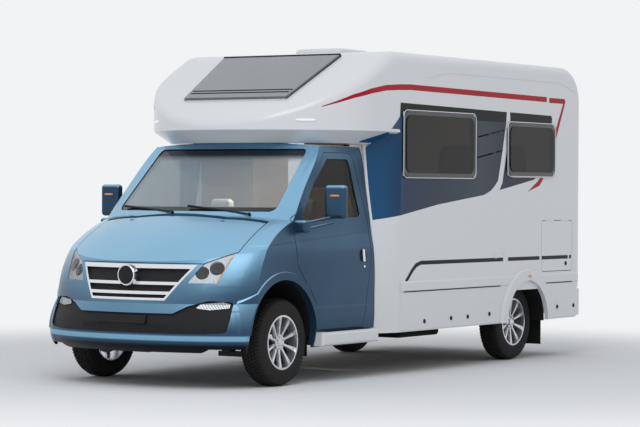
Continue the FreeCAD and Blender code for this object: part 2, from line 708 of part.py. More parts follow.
def make_living_body():
    """Side walls, rear wall, roof, their windows and the two doors of the living body."""
    foot = floor_top_z - floor_depth
    shell = body_solid(0, foot).cut(body_solid(panel_wall, foot - overrun))
    side_zone = body_profile(edge_radius, foot - overrun)
    half = half_body
    left_zone = side_zone.extrude(V(panel_wall + 2 * overrun, 0, 0))
    left_zone.translate(V(half - panel_wall, 0, 0))
    left = largest(shell.common(left_zone))
    right = mirrored(left)
    rest = shell.cut([left_zone, mirrored(left_zone)])
    rear_zone = box(-half, half, body_back_y - edge_radius - overrun, body_back_y + overrun, 0, body_height - rear_top_radius)
    rear = largest(rest.common(rear_zone))
    roof = largest(rest.cut(rear_zone))

    x0, x1 = half - panel_wall - overrun, half + overrun
    frames, panes = [], []
    holes = [side_cut(bounds, window_round, frame_width / 2, x0, x1) for bounds in (front_window, rear_window)]
    aperture = side_cut(service_door, service_round, running_gap, x0, x1)
    panel = side_cut(service_door, service_round, 0, x0, x1)
    locker = largest(left.common(panel))
    top_z = service_door[3]
    hinge_z = top_z + running_gap - seat_gap - body_barrel_radius
    length = (service_door[1] - service_door[0]) / 4
    for share in (0.125, 0.625):
        start = service_door[0] + share * (service_door[1] - service_door[0])
        locker = locker.fuse(Part.makeCylinder(body_barrel_radius, length, V(half, start, hinge_z), V(0, 1, 0)))
    write("service_door", locker.removeSplitter())
    write("side_wall_left", left.cut(holes + [aperture]))
    for bounds in (front_window, rear_window):
        framed_window(frames, panes, side_cut, bounds, half)

    kitchen = side_cut(kitchen_window, window_round, frame_width / 2, -x1, -x0)
    door_hole = side_cut(entry_door, entry_round, running_gap, -x1, -x0)
    door_zone = side_cut(entry_door, entry_round, 0, -x1, -x0)
    glass_zone = side_cut(entry_window, window_round, 0, -x1, -x0)
    door = largest(right.common(door_zone).cut(glass_zone))
    hinge_y0 = entry_door[0] - running_gap + seat_gap + body_barrel_radius
    for share in (0.15, 0.75):
        start = entry_door[2] + share * (entry_door[3] - entry_door[2])
        door = door.fuse(Part.makeCylinder(body_barrel_radius, entry_round, V(-half, hinge_y0, start)))
    write("entry_door", door.removeSplitter())
    pane = side_cut(entry_window, window_round, 0, -half + panel_wall / 3, -half - seat_gap)
    write("entry_door_pane", pane)
    write("side_wall_right", right.cut([kitchen, door_hole]))
    right_frames, right_panes = [], []
    framed_window(right_frames, right_panes, side_cut, kitchen_window, half)
    frames += [mirrored(shape) for shape in right_frames]
    panes += [mirrored(shape) for shape in right_panes]

    back_hole = back_cut(back_window, window_round, frame_width / 2, body_back_y - panel_wall - overrun, body_back_y + overrun)
    write("rear_wall", rear.cut(back_hole))
    framed_window(frames, panes, back_cut, back_window, body_back_y)
    write("window_frames", frames)
    write("window_panes", panes)

    hx, hy = hatch_size[0] / 2, hatch_size[1] / 2
    hatch_hole = box(-hx, hx, hatch_y - hy, hatch_y + hy, body_height - panel_wall - overrun, body_height + overrun)
    write("roof", roof.cut(hatch_hole))
    base = box(-hx - hatch_flange, hx + hatch_flange, hatch_y - hy - hatch_flange, hatch_y + hy + hatch_flange,
               body_height, body_height + hatch_size[2])
    base = base.makeFillet(hatch_size[2] / 2, [edge for edge in base.Edges if edge.BoundBox.ZMin > body_height + seat_gap])
    under = box(-hx, hx, hatch_y - hy, hatch_y + hy, body_height - seat_gap, body_height + hatch_size[2] - hatch_skin)
    write("roof_hatch", base.cut(under))


# Roof hatch and its dome
hatch_size = (400.0, 400.0, 70.0)
hatch_y = body_front_y + 605.0
hatch_flange = 35.0
hatch_skin = 12.0


def nose_plan(inset, level, back_y):
    """Plan outline of the overcab nose at one level, from two tangent arcs a side."""
    half = half_body - inset
    depth = nose_depth - inset
    corner = nose_corner_radius - inset
    front = (half * half + depth * depth - 2 * half * corner) / (2 * (depth - corner))
    centre = V(0, nose_start_y - depth + front, level)
    turn = V(half - corner, nose_start_y, level)
    out = (turn - centre).normalize()
    joint = turn + out * corner
    side = V(half, nose_start_y, level)
    along = (V(1, 0, 0) + out).normalize()
    middle = turn + along * corner
    tip = V(0, nose_start_y - depth, level)

    def flip(point):
        return V(-point.x, point.y, point.z)

    edges = [Part.Arc(side, middle, joint), Part.Arc(joint, tip, flip(joint)), Part.Arc(flip(joint), flip(middle), flip(side))]
    back, far = V(half, back_y, level), V(-half, back_y, level)
    edges += [Part.LineSegment(flip(side), far), Part.LineSegment(far, back), Part.LineSegment(back, side)]
    return Part.Wire([edge.toShape() for edge in edges])


def nose_profile(inset, back_y):
    """Side outline of the nose above its chine, with the slope over the screen."""
    top = body_height - inset
    run = slope_high_y - slope_low_y
    rise = body_height - slope_low_z
    angle = math.atan2(rise, run)
    shift = inset * math.tan(angle / 2)
    knee = V(0, slope_high_y + shift, top)
    away = V(0, -math.cos(angle), -math.sin(angle))
    reach = slope_round * math.tan(angle / 2)
    low = knee + away * ((knee.y - nose_start_y + nose_depth + overrun) / math.cos(angle))
    start = knee + V(0, reach, 0)
    end = knee + away * reach
    centre = start - V(0, 0, slope_round)
    middle = centre + V(0, -math.sin(angle / 2), math.cos(angle / 2)) * slope_round
    floor_front = V(0, low.y, nose_chine_z)
    back_low, back_top = V(0, back_y, nose_chine_z), V(0, back_y, top)
    edges = [Part.LineSegment(back_top, start), Part.Arc(start, middle, end), Part.LineSegment(end, low),
             Part.LineSegment(low, floor_front), Part.LineSegment(floor_front, back_low),
             Part.LineSegment(back_low, back_top)]
    return Part.Face(Part.Wire([edge.toShape() for edge in edges]))


def nose_solid(inset, back_y, low_z):
    """Overcab nose as one solid: upper part under the slope, and the taper down to the cab roof."""
    half = half_body - inset
    slab = nose_profile(inset, back_y).extrude(V(2 * half, 0, 0))
    slab.translate(V(-half, 0, 0))
    wall = Part.Face(nose_plan(inset, nose_chine_z, back_y)).extrude(V(0, 0, body_height))
    upper = slab.common(wall)
    lower_wires = [nose_plan(inset + nose_chine_inset, low_z, back_y), nose_plan(inset, nose_chine_z, back_y)]
    lower = Part.makeLoft(lower_wires, True, True)
    radius = inner_edge_radius if inset else edge_radius
    ridge = []
    for edge in upper.Edges:
        middle = edge.valueAt((edge.FirstParameter + edge.LastParameter) / 2)
        reach = edge.BoundBox
        upright = reach.XLength + reach.YLength < seat_gap
        across = abs(middle.x) < seat_gap and reach.YLength < seat_gap
        if middle.z > nose_chine_z + seat_gap and middle.y < back_y and not upright and not across:
            ridge.append(edge)
    upper = upper.makeFillet(radius, ridge)
    return upper.fuse(lower).removeSplitter()


# Skylight over the screen, on the slope of the nose
nose_wall = 35.0
skylight_low = 0.30
skylight_high = 0.93
skylight_width_shares = (0.4815, 0.5556)
skylight_half_widths = [share * half_body for share in skylight_width_shares]
skylight_frame = 45.0
skylight_proud = 22.0
skylight_pane = 16.0


def slope_prism(inset, low, high):
    """Prism square to the nose slope on the skylight outline, between two heights above the slope."""
    run = slope_high_y - slope_low_y
    rise = body_height - slope_low_z
    angle = math.atan2(rise, run)
    along = V(0, math.cos(angle), math.sin(angle))
    up = V(0, -math.sin(angle), math.cos(angle))
    length = run / math.cos(angle)
    start = V(0, slope_low_y, slope_low_z)
    narrow, wide = skylight_half_widths
    corners = [(-narrow, skylight_low * length), (narrow, skylight_low * length),
               (wide, skylight_high * length), (-wide, skylight_high * length)]
    corners = grown(corners, -inset)
    points = [start + V(u, 0, 0) + along * w + up * low for u, w in corners]
    return Part.Face(Part.makePolygon(points + [points[0]])).extrude(up * (high - low))


def make_overcab():
    """Overcab nose shell with its bed floor, and the skylight in its slope."""
    outer = nose_solid(0, body_front_y, nose_low_z)
    inner = nose_solid(nose_wall, body_front_y + overrun, nose_low_z + nose_wall)
    shell = outer.cut(inner)
    walk_through = box(-walk_half, walk_half, walk_front_y, 0, 0, nose_chine_z)
    hole = slope_prism(skylight_frame / 2, -nose_wall - overrun, overrun)
    write("overcab_shell", largest(shell.cut([walk_through, hole])))
    flange = slope_prism(0, 0, skylight_proud)
    ring = slope_prism(skylight_frame / 2, -nose_wall, skylight_proud)
    opening = slope_prism(skylight_frame, -nose_wall - overrun, skylight_proud + overrun)
    pane = slope_prism(skylight_frame, skylight_proud - skylight_pane, skylight_proud)
    write("skylight", [fused([flange, ring]).cut(opening), pane])


# Walk-through over the cab seats into the living space
walk_half = 620.0
walk_front_y = front_y + 1830.0

# Curved fairings between the cab and the living body: half-widths at the cab by height
fairing_front_y = cab_rear_y
fairing_thickness = 20.0
fairing_row_shares = [(0.1847, 0.9818), (0.3571, 1.002), (0.5612, 0.9899), (0.6888, 0.9515), (0.9694, 0.8808), (1.051, 0.8586)]
fairing_rows = [(z * cab_height, x * half_cab) for z, x in fairing_row_shares]


def fairing_wire(z, x):
    """Plan outline of one fairing at one height."""
    half = half_body
    start = V(x, fairing_front_y, z)
    end = V(half, body_front_y, z)
    bend = V((x + half) / 2 + fairing_thickness, (fairing_front_y + body_front_y) / 2, z)
    inner_end = V(half - fairing_thickness, body_front_y, z)
    inner_start = V(x - fairing_thickness, fairing_front_y, z)
    inner_bend = bend - V(fairing_thickness, -fairing_thickness / 2, 0)
    edges = [Part.Arc(start, bend, end), Part.LineSegment(end, inner_end),
             Part.Arc(inner_end, inner_bend, inner_start), Part.LineSegment(inner_start, start)]
    return Part.Wire([edge.toShape() for edge in edges])


def make_fairings():
    """The pair of curved side fairings between cab and body."""
    wires = [fairing_wire(z, x) for z, x in fairing_rows]
    fairing = Part.makeLoft(wires, True, False).cut(nose_solid(0, body_front_y, nose_low_z))
    write("cab_fairings", pair(largest(fairing)))


# Skirts, flares and the rest of the outside
skirt_skin = 14.0
skirt_proud = 4.0
ridge_proud = 12.0
ridge_low_z = 712.0
ridge_high_z = 778.0
flare_width = 110.0
flare_proud = 26.0
skirt_corner = 60.0


def skirt_solid():
    """Left skirt along the whole living body, with its ridge and wheel flare."""
    half = half_body
    foot = floor_top_z - floor_depth
    top = ridge_high_z + skirt_skin
    points = [(half - skirt_skin, skirt_z), (half, skirt_z), (half + skirt_proud, skirt_z + skirt_skin),
              (half + skirt_proud, ridge_low_z - skirt_skin), (half + ridge_proud, ridge_low_z),
              (half + ridge_proud, ridge_high_z), (half + skirt_proud, top), (half, top), (half, foot),
              (half - skirt_skin, foot)]
    skirt = prism("y", body_front_y, body_back_y - edge_radius, points)
    low_x = half - skirt_skin
    hole = arch_cutter(rear_axle_y, axle_z, rear_arch_radius, half_cab / 2)
    ring = Part.makeCylinder(rear_arch_radius + flare_width, skirt_skin + flare_proud, V(low_x, rear_axle_y, axle_z), V(1, 0, 0))
    rim = [edge for edge in ring.Edges if edge.BoundBox.XMin > half and edge.BoundBox.ZLength > flare_width]
    ring = ring.makeChamfer(flare_proud * 0.7, rim)
    inside = box(low_x - overrun, half, 0, rear_y, foot, body_height)
    keep = box(0, half_body * 2, 0, rear_y, skirt_z, body_height)
    ring = ring.common(keep).cut(inside)
    corner = body_back_y - edge_radius - skirt_corner
    keep_out = box(0, half_body * 2, corner, rear_y, skirt_z - overrun, skirt_z + skirt_corner)
    round_off = Part.makeCylinder(skirt_corner, half_body * 2, V(0, corner, skirt_z + skirt_corner), V(1, 0, 0))
    return fused([skirt, ring]).cut([hole, keep_out.cut(round_off)])


def make_outside(cab_outer):
    """Skirts, cab steps, rear bumper, lamps and mud flaps."""
    left = skirt_solid()
    doorway = box(-half_body - overrun, -half_body, entry_door[0] - 2 * running_gap, entry_door[1] + 2 * running_gap,
                  floor_top_z - floor_depth, body_height)
    write("side_skirts", [left, largest(mirrored(left).cut(doorway))])
    low_x = half_cab - cab_side_wall - step_reach / 3
    step = box(low_x, half_cab + step_reach, step_front_y, step_back_y, step_low_z, step_top_z)
    step = step.makeFillet(step_round, [edge for edge in step.Edges if edge.BoundBox.XMin > half_cab])
    write("cab_steps", pair(largest(step.cut(cab_outer))))
    write("rear_bumper", make_rear_bumper())
    lamps = []
    for side in (-1, 1):
        x = side * tail_lamp_x
        lamps.append(box(x - tail_lamp[0] / 2, x + tail_lamp[0] / 2, body_back_y, body_back_y + tail_lamp[1],
                         tail_lamp_z, tail_lamp_z + tail_lamp[2]))
    lamps = [lamp.makeFillet(tail_lamp[1] / 2, [e for e in lamp.Edges if e.BoundBox.YMin > body_back_y + seat_gap])
             for lamp in lamps]
    write("tail_lamps", lamps)
    low_x, high_x = track / 2 - flap_width / 2, track / 2 + flap_width / 2
    flap_y = rear_axle_y + flap_reach
    flaps = pair(box(low_x, high_x, flap_y, flap_y + flap_thickness, flap_low_z, floor_top_z - floor_depth))
    flap_y = front_arch_y + front_arch_radius + seat_gap
    flaps += pair(box(front_arch_inner_x + flap_width, half_cab * cab_side_shares[0][0] - cab_side_wall - running_gap, flap_y, flap_y + flap_thickness,
                      front_flap_low_z, front_arch_z))
    write("mud_flaps", flaps)


step_reach = 60.0
step_front_y = front_y + 1350.0
step_back_y = cab_rear_y - 15.0
step_low_z = 300.0
step_top_z = 412.0
step_round = 25.0
tail_lamp = (110.0, 22.0, 380.0)
tail_lamp_inset = 120.0
tail_lamp_x = half_body - tail_lamp_inset
tail_lamp_z = 720.0
flap_width = 220.0
flap_thickness = 8.0
flap_low_z = 120.0
flap_reach = 500.0
front_flap_low_z = 215.0
rear_bumper_height = 250.0
rear_bumper_low_z = 380.0
rear_bumper_wall = 20.0


def make_rear_bumper():
    """Moulded rear bumper, open at the front, across the back of the body."""
    half = half_body
    front = body_back_y - edge_radius
    outer = box(-half, half, front, rear_y, rear_bumper_low_z, rear_bumper_low_z + rear_bumper_height)
    outer = outer.makeFillet(edge_radius, [e for e in outer.Edges if e.BoundBox.YMin > rear_y - seat_gap and
                                           e.BoundBox.ZLength > edge_radius])
    wall = rear_bumper_wall
    inner = box(-half + wall, half - wall, front - overrun, rear_y - wall, rear_bumper_low_z - overrun,
                rear_bumper_low_z + rear_bumper_height - wall)
    inner = inner.makeFillet(edge_radius - wall, [e for e in inner.Edges if e.BoundBox.YMin > rear_y - wall - seat_gap and
                                                  e.BoundBox.ZLength > edge_radius])
    return outer.cut(inner)


# Chassis
rail_x = 420.0
rail_width = 70.0
rail_low_z = 430.0
rail_wall = 6.0
rail_front_y = front_y + 310.0
rail_back_y = rear_y - 90.0
cross_places = (front_axle_y - 563.0, front_axle_y - 263.0, front_axle_y + 557.0, front_axle_y + 1737.0,
                rear_axle_y - 1113.0, rear_axle_y - 463.0, rear_axle_y + 487.0)
cross_height = 70.0
tow_plate = (900.0, 200.0, 8.0)
tow_holes = (500.0, 120.0)
tow_hole_diameter = 13.0
arm_height = 40.0
arm_width = 90.0
arm_low_z = 240.0
strut_radius = 26.0
strut_top_z = 850.0


def rail(x):
    """One channel rail of the ladder frame, open towards the middle."""
    top = cab_floor_z
    web = box(x - rail_width / 2, x + rail_width / 2, rail_front_y, rail_back_y, rail_low_z, top)
    side = -1 if x > 0 else 1
    x0 = x - rail_width / 2 + (rail_wall if side > 0 else -overrun)
    x1 = x + rail_width / 2 - (rail_wall if side < 0 else -overrun)
    hollow = box(x0, x1, rail_front_y - overrun, rail_back_y + overrun, rail_low_z + rail_wall, top - rail_wall)
    return web.cut(hollow)


def make_chassis():
    """Ladder frame with cross members, body risers, front arms and strut towers, and the tow plate."""
    inner = rail_x + rail_width / 2 - rail_wall
    mid_z = (rail_low_z + cab_floor_z) / 2
    pieces = [rail(-rail_x), rail(rail_x)]
    for y in cross_places:
        pieces.append(box(-inner, inner, y, y + rail_width, mid_z - cross_height / 2, mid_z + cross_height / 2))
    for y in riser_places:
        foot = floor_top_z - floor_depth
        pieces.append(box(-riser_half, riser_half, y, y + rail_width, cab_floor_z, foot))
    arm_top = knuckle_low_z - seat_gap
    for side in (-1, 1):
        x0, x1 = sorted((side * (rail_x - rail_width), side * (steer_x + arm_width / 2)))
        pieces.append(box(x0, x1, front_axle_y - arm_width / 2, front_axle_y + arm_width / 2, arm_top - arm_height, arm_top))
        x0, x1 = sorted((side * (rail_x - rail_width / 2), side * (rail_x + rail_width / 2)))
        pieces.append(box(x0, x1, front_axle_y - arm_width / 2, front_axle_y + arm_width / 2, arm_top - arm_height, mid_z))
        strut = Part.makeCylinder(strut_radius, strut_top_z - knuckle_high_z - seat_gap,
                                  V(side * steer_x, front_axle_y, knuckle_high_z + seat_gap))
        pieces.append(strut)
        x0, x1 = sorted((side * (rail_x - rail_width / 2), side * (steer_x + arm_width / 2)))
        pieces.append(box(x0, x1, front_axle_y - arm_width / 2, front_axle_y + arm_width / 2, strut_top_z - arm_height, strut_top_z))
        x0, x1 = sorted((side * (rail_x - rail_width / 2), side * (rail_x + rail_width / 2)))
        pieces.append(box(x0, x1, front_axle_y - arm_width / 2, front_axle_y + arm_width / 2, cab_floor_z - rail_wall, strut_top_z))
    wide, long, thick = tow_plate
    plate_y = rail_back_y - long / 2
    plate = box(-wide / 2, wide / 2, rail_back_y - long, rail_back_y, rail_low_z - thick, rail_low_z)
    for x in (-tow_holes[0] / 2, tow_holes[0] / 2):
        for y in (plate_y - tow_holes[1] / 2, plate_y + tow_holes[1] / 2):
            hole = Part.makeCylinder(tow_hole_diameter / 2, thick + overrun, V(x, y, rail_low_z - thick - overrun / 2))
            plate = plate.cut(hole)
    pieces.append(plate)
    write("chassis_frame", fused(pieces))


riser_places = (body_front_y + 35.0, body_front_y + 955.0, rear_axle_y - 613.0, rear_axle_y + 787.0)
riser_half = half_body - 180.0

# Wheels, knuckles and rear axle
knuckle_low_z = 262.0
knuckle_high_z = 440.0
knuckle_width = 60.0
stub_radius = 28.0
bore_clearance = 0.3
bore_end = 8.0
hub_x = track / 2
beam_radius = 38.0
spring_x = 560.0
spring_width = 60.0
spring_leaf = 24.0
spring_half = 560.0
spring_drop = 90.0
tyre_section = [(-0.44, 0.61), (-0.5, 0.68), (-0.5, 0.84), (-0.45, 0.94), (-0.36, 0.985), (-0.18, 1.0), (0.18, 1.0),
                (0.36, 0.985), (0.45, 0.94), (0.5, 0.84), (0.5, 0.68), (0.44, 0.61)]
rim_wall = 10.0
rim_lip = 14.0
spoke_count = 10
hub_radius = 62.0
spoke_depth = 26.0
spoke_dish = 20.0
spoke_half = (17.0, 13.0, 22.0)
spoke_bevel = 5.0
hub_cap = (30.0, 12.0)


def wheel_spoke(face_x, reach):
    """One spoke, dished from the hub out to the rim and wider at its ends."""
    sections = []
    for r, back, half in ((hub_radius / 2, spoke_dish, spoke_half[0]), (reach / 2, spoke_dish / 2, spoke_half[1]),
                          (reach, 0, spoke_half[2])):
        low, high = face_x - back - spoke_depth, face_x - back
        corners = [V(low, -half, r), V(high, -half + spoke_bevel, r), V(high, half - spoke_bevel, r), V(low, half, r)]
        sections.append(Part.makePolygon(corners + [corners[0]]))
    return Part.makeLoft(sections, True, True)


def wheel_shapes():
    """Tyre and alloy wheel about the origin, axle along X, outer face towards +X."""
    outer = tyre_diameter / 2
    points = [V(x * tyre_width, 0, r * outer) for x, r in tyre_section]
    tyre = Part.Face(Part.makePolygon(points + [points[0]])).revolve(V(0, 0, 0), V(1, 0, 0), 360)
    seat = tyre_section[0][1] * outer
    half = tyre_section[-1][0] * tyre_width
    lip = rim_diameter / 2
    barrel_points = [(-half, seat - rim_wall), (-half, seat), (half, seat), (half + rim_lip / 2, lip),
                     (half + rim_lip / 2, seat - rim_wall)]
    pts = [V(x, 0, r) for x, r in barrel_points]
    barrel = Part.Face(Part.makePolygon(pts + [pts[0]])).revolve(V(0, 0, 0), V(1, 0, 0), 360)
    face_x = half - spoke_depth / 2
    hub_face = face_x - spoke_dish / 2
    hub_back = face_x - spoke_dish - spoke_depth
    cap_radius, cap_height = hub_cap
    cap_face = hub_face + cap_height
    corners = [V(hub_back, 0, 0), V(hub_back, 0, hub_radius), V(hub_face, 0, hub_radius), V(hub_face, 0, cap_radius),
               V(cap_face - cap_height / 3, 0, cap_radius), V(cap_face, 0, cap_radius - cap_height / 2),
               V(cap_face, 0, 0)]
    hub = Part.Face(Part.makePolygon(corners + [corners[0]])).revolve(V(0, 0, 0), V(1, 0, 0), 360)
    for i in range(spoke_count):
        spoke = wheel_spoke(face_x, seat - rim_wall / 2)
        spoke.rotate(V(0, 0, 0), V(1, 0, 0), 360 * i / spoke_count)
        hub = hub.fuse(spoke)
    bore_depth = hub_face - bore_end - hub_back + overrun
    bore = Part.makeCylinder(stub_radius + bore_clearance, bore_depth, V(hub_back - overrun, 0, 0), V(1, 0, 0))
    rim = barrel.fuse(hub).removeSplitter().cut(bore)
    return tyre, rim, hub_face - bore_end


def make_running_gear():
    """Four wheels with their tyres, the front knuckles and the rear axle with its springs."""
    tyre, rim, bore_face = wheel_shapes()
    for end, y in (("front", front_axle_y), ("rear", rear_axle_y)):
        for side_name, side in (("left", 1), ("right", -1)):
            place = V(hub_x, y, axle_z)
            for name, shape in (("tyre", tyre), ("wheel", rim)):
                moved = shape.translated(place)
                write(name + "_" + end + "_" + side_name, moved if side > 0 else mirrored(moved))
    stub_end = hub_x + bore_face - bore_clearance
    block = box(steer_x - knuckle_width / 2, steer_x + knuckle_width / 2, front_axle_y - knuckle_width / 1.5,
                front_axle_y + knuckle_width / 1.5, knuckle_low_z, knuckle_high_z)
    stub = Part.makeCylinder(stub_radius, stub_end - steer_x, V(steer_x, front_axle_y, axle_z), V(1, 0, 0))
    knuckle = fused([block, stub])
    write("knuckle_left", knuckle)
    write("knuckle_right", mirrored(knuckle))
    beam = Part.makeCylinder(beam_radius, 2 * (hub_x - tyre_width / 2 - overrun / 2),
                             V(-(hub_x - tyre_width / 2 - overrun / 2), rear_axle_y, axle_z), V(1, 0, 0))
    stubs = Part.makeCylinder(stub_radius, 2 * stub_end, V(-stub_end, rear_axle_y, axle_z), V(1, 0, 0))
    pieces = [beam, stubs]
    top = axle_z + beam_radius
    for side in (-1, 1):
        x = side * spring_x
        low = V(x - spring_width / 2, rear_axle_y, top - spring_leaf / 2)
        front = V(low.x, rear_axle_y - spring_half, top - spring_leaf / 2 + spring_drop)
        back = V(low.x, rear_axle_y + spring_half, top - spring_leaf / 2 + spring_drop)
        up = V(0, 0, spring_leaf)
        arc = Part.Wire([Part.Arc(front, low, back).toShape(), Part.LineSegment(back, back + up).toShape(),
                         Part.Arc(back + up, low + up, front + up).toShape(), Part.LineSegment(front + up, front).toShape()])
        pieces.append(Part.Face(arc).extrude(V(spring_width, 0, 0)))
        for y in (rear_axle_y - spring_half, rear_axle_y + spring_half - spring_width):
            x0, x1 = sorted((side * (rail_x + rail_width / 2), side * (spring_x + spring_width / 2)))
            pieces.append(box(x0, x1, y, y + spring_width, top + spring_drop - spring_leaf / 2, cab_floor_z - rail_wall))
    write("rear_axle", fused(pieces))


# Power unit, exhaust, tanks and wheel housings
engine_size = (560.0, 480.0, 420.0)
engine_front_y = front_y + 430.0
engine_low_z = 515.0
silencer_radius = 90.0
silencer_length = 520.0
silencer_x = -250.0
silencer_y = rear_axle_y - 1513.0
pipe_radius = 26.0
pipe_z = 340.0
tank_sizes = ((330.0, 900.0, 250.0), (330.0, 700.0, 250.0))
tank_places = ((470.0, front_axle_y + 737.0), (470.0, front_axle_y + 2037.0))
tank_top_z = cab_floor_z
front_arch_inner_x = 530.0
rear_arch_inner_x = 690.0
liner_gap = 12.0
liner_wall = 8.0


def liner(y, z, radius, inner_x, outer_x):
    """Inner housing over one left wheel: a half drum closed on its inner side."""
    width = outer_x - inner_x
    outer = Part.makeCylinder(radius + liner_wall, width, V(inner_x, y, z), V(1, 0, 0))
    inner = Part.makeCylinder(radius, width, V(inner_x + liner_wall, y, z), V(1, 0, 0))
    upper = box(0, half_body, y - radius * 2, y + radius * 2, z, z + radius * 2)
    return outer.cut(inner).common(upper)


def make_underside():
    """Engine block, exhaust, two tanks, wheel housings and the living floor."""
    wide, deep, high = engine_size
    engine = box(-wide / 2, wide / 2, engine_front_y, engine_front_y + deep, engine_low_z, engine_low_z + high)
    write("engine", engine)
    can = Part.makeCylinder(silencer_radius, silencer_length, V(silencer_x, silencer_y, pipe_z), V(0, 1, 0))
    front_pipe = Part.makeCylinder(pipe_radius, silencer_y - pipe_front_y + silencer_radius,
                                   V(silencer_x, pipe_front_y, pipe_z), V(0, 1, 0))
    hangers = []
    mid_z = (rail_low_z + cab_floor_z) / 2 - cross_height / 2
    for y in (cross_places[3], cross_places[4]):
        hangers.append(box(silencer_x - pipe_radius, silencer_x + pipe_radius, y, y + pipe_radius, pipe_z, mid_z))
    front_hanger, rear_hanger = hangers
    write("exhaust", [fused([can, front_pipe, front_hanger]), rear_hanger.cut(can)])
    tanks = []
    for (wide, long, high), (x, y) in zip(tank_sizes, tank_places):
        tank = box(x, x + wide, y, y + long, tank_top_z - high, tank_top_z)
        tanks.append(tank.makeFillet(silencer_radius / 3, tank.Edges))
    write("tanks", tanks)
    front = liner(front_arch_y, front_arch_z, front_arch_radius + seat_gap, front_arch_inner_x, half_cab - cab_side_wall - seat_gap)
    rear = liner(rear_axle_y, axle_z, rear_arch_radius + liner_gap, rear_arch_inner_x, half_body - panel_wall - seat_gap)
    tower = box(0, half_cab, front_axle_y - arm_width / 2 - seat_gap, front_axle_y + arm_width / 2 + seat_gap,
                strut_top_z - arm_height - seat_gap, strut_top_z + seat_gap)
    cab_inside = cab_form(cab_roof_wall + seat_gap, cab_side_wall + seat_gap)
    front = largest(front.cut(tower).common(cab_inside))
    notch = Part.makeCylinder(beam_radius + running_gap, half_body, V(0, rear_axle_y, axle_z), V(1, 0, 0))
    rear = largest(rear.cut(notch))
    write("wheel_housings", pair(front) + pair(rear))
    foot = floor_top_z - floor_depth
    floor = box(-half_body, half_body, body_front_y, body_back_y, foot, floor_top_z)
    floor = floor.common(body_solid(panel_wall + seat_gap, foot - overrun))
    drum = Part.makeCylinder(rear_arch_radius + liner_gap + liner_wall, half_body, V(rear_arch_inner_x, rear_axle_y, axle_z), V(1, 0, 0))
    write("living_floor", floor.cut([drum, mirrored(drum)]))


pipe_front_y = front_axle_y + 337.0

# Furniture and cushions of the living space
furniture_wall = 18.0
bench = (560.0, 480.0, 420.0)
bench_y = body_front_y + 1075.0
table = (620.0, 520.0, 28.0)
table_y = body_front_y + 495.0
table_z = floor_top_z + 700.0
kitchen = (520.0, 1000.0, 880.0)
kitchen_y = body_back_y - 1805.0
wardrobe = (560.0, 560.0, 0.8313 * headroom)
wardrobe_y = body_front_y + 75.0
bed_y = body_back_y - 645.0
bed_z = floor_top_z + 630.0
cushion_thickness = 110.0
mattress_thickness = 120.0


def cabinet(x0, x1, y0, y1, z1):
    """Hollow cabinet box standing on the living floor, open underneath."""
    wall = furniture_wall
    outer = box(x0, x1, y0, y1, floor_top_z, z1)
    return outer.cut(box(x0 + wall, x1 - wall, y0 + wall, y1 - wall, floor_top_z - overrun, z1 - wall))


def make_furniture():
    """Bench, table, kitchen, wardrobe and bed base, with their soft pads."""
    inner = half_body - panel_wall - seat_gap
    drum = Part.makeCylinder(rear_arch_radius + liner_gap + liner_wall + seat_gap, half_body,
                             V(rear_arch_inner_x, rear_axle_y, axle_z), V(1, 0, 0))
    drums = [drum, mirrored(drum)]
    back_y = body_back_y - panel_wall - seat_gap
    solids = [cabinet(inner - bench[0], inner, bench_y, bench_y + bench[1], floor_top_z + bench[2]),
              cabinet(-inner, -inner + kitchen[0], kitchen_y, kitchen_y + kitchen[1], floor_top_z + kitchen[2]),
              cabinet(-inner, -inner + wardrobe[0], wardrobe_y, wardrobe_y + wardrobe[1], floor_top_z + wardrobe[2])]
    bed_half = inner - inner_edge_radius
    bed = cabinet(-bed_half, bed_half, bed_y, back_y, bed_z)
    locker = box(bed_half - overrun, inner + overrun, service_door[0], service_door[1], service_door[2], service_door[3])
    solids = [solid.cut(drums) for solid in solids + [bed.cut(locker)]]
    leg = Part.makeCylinder(stub_radius, table_z - floor_top_z, V(inner - table[0] / 2, table_y + table[1] / 2, floor_top_z))
    top = box(inner - table[0], inner, table_y, table_y + table[1], table_z, table_z + table[2])
    solids.append(fused([leg, top]))
    write("furniture", [largest(solid) for solid in solids])
    seat_z = floor_top_z + bench[2] + seat_gap
    margin = running_gap
    pads = [box(inner - bench[0] + margin, inner - margin, bench_y + margin, bench_y + bench[1] - margin,
                seat_z, seat_z + cushion_thickness),
            box(-inner + margin, inner - margin, bed_y + margin, back_y - margin, bed_z + seat_gap,
                bed_z + seat_gap + mattress_thickness)]
    write("cushions", [pad.makeFillet(cushion_thickness / 4, pad.Edges) for pad in pads])


cab_outer = make_cab()
make_cab_inside()
make_living_body()
make_overcab()
make_fairings()
make_outside(cab_outer)
make_chassis()
make_running_gear()
make_underside()
make_furniture()
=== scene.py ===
import math

import bmesh
import bpy
from mathutils import Matrix, Vector
from mathutils.bvhtree import BVHTree


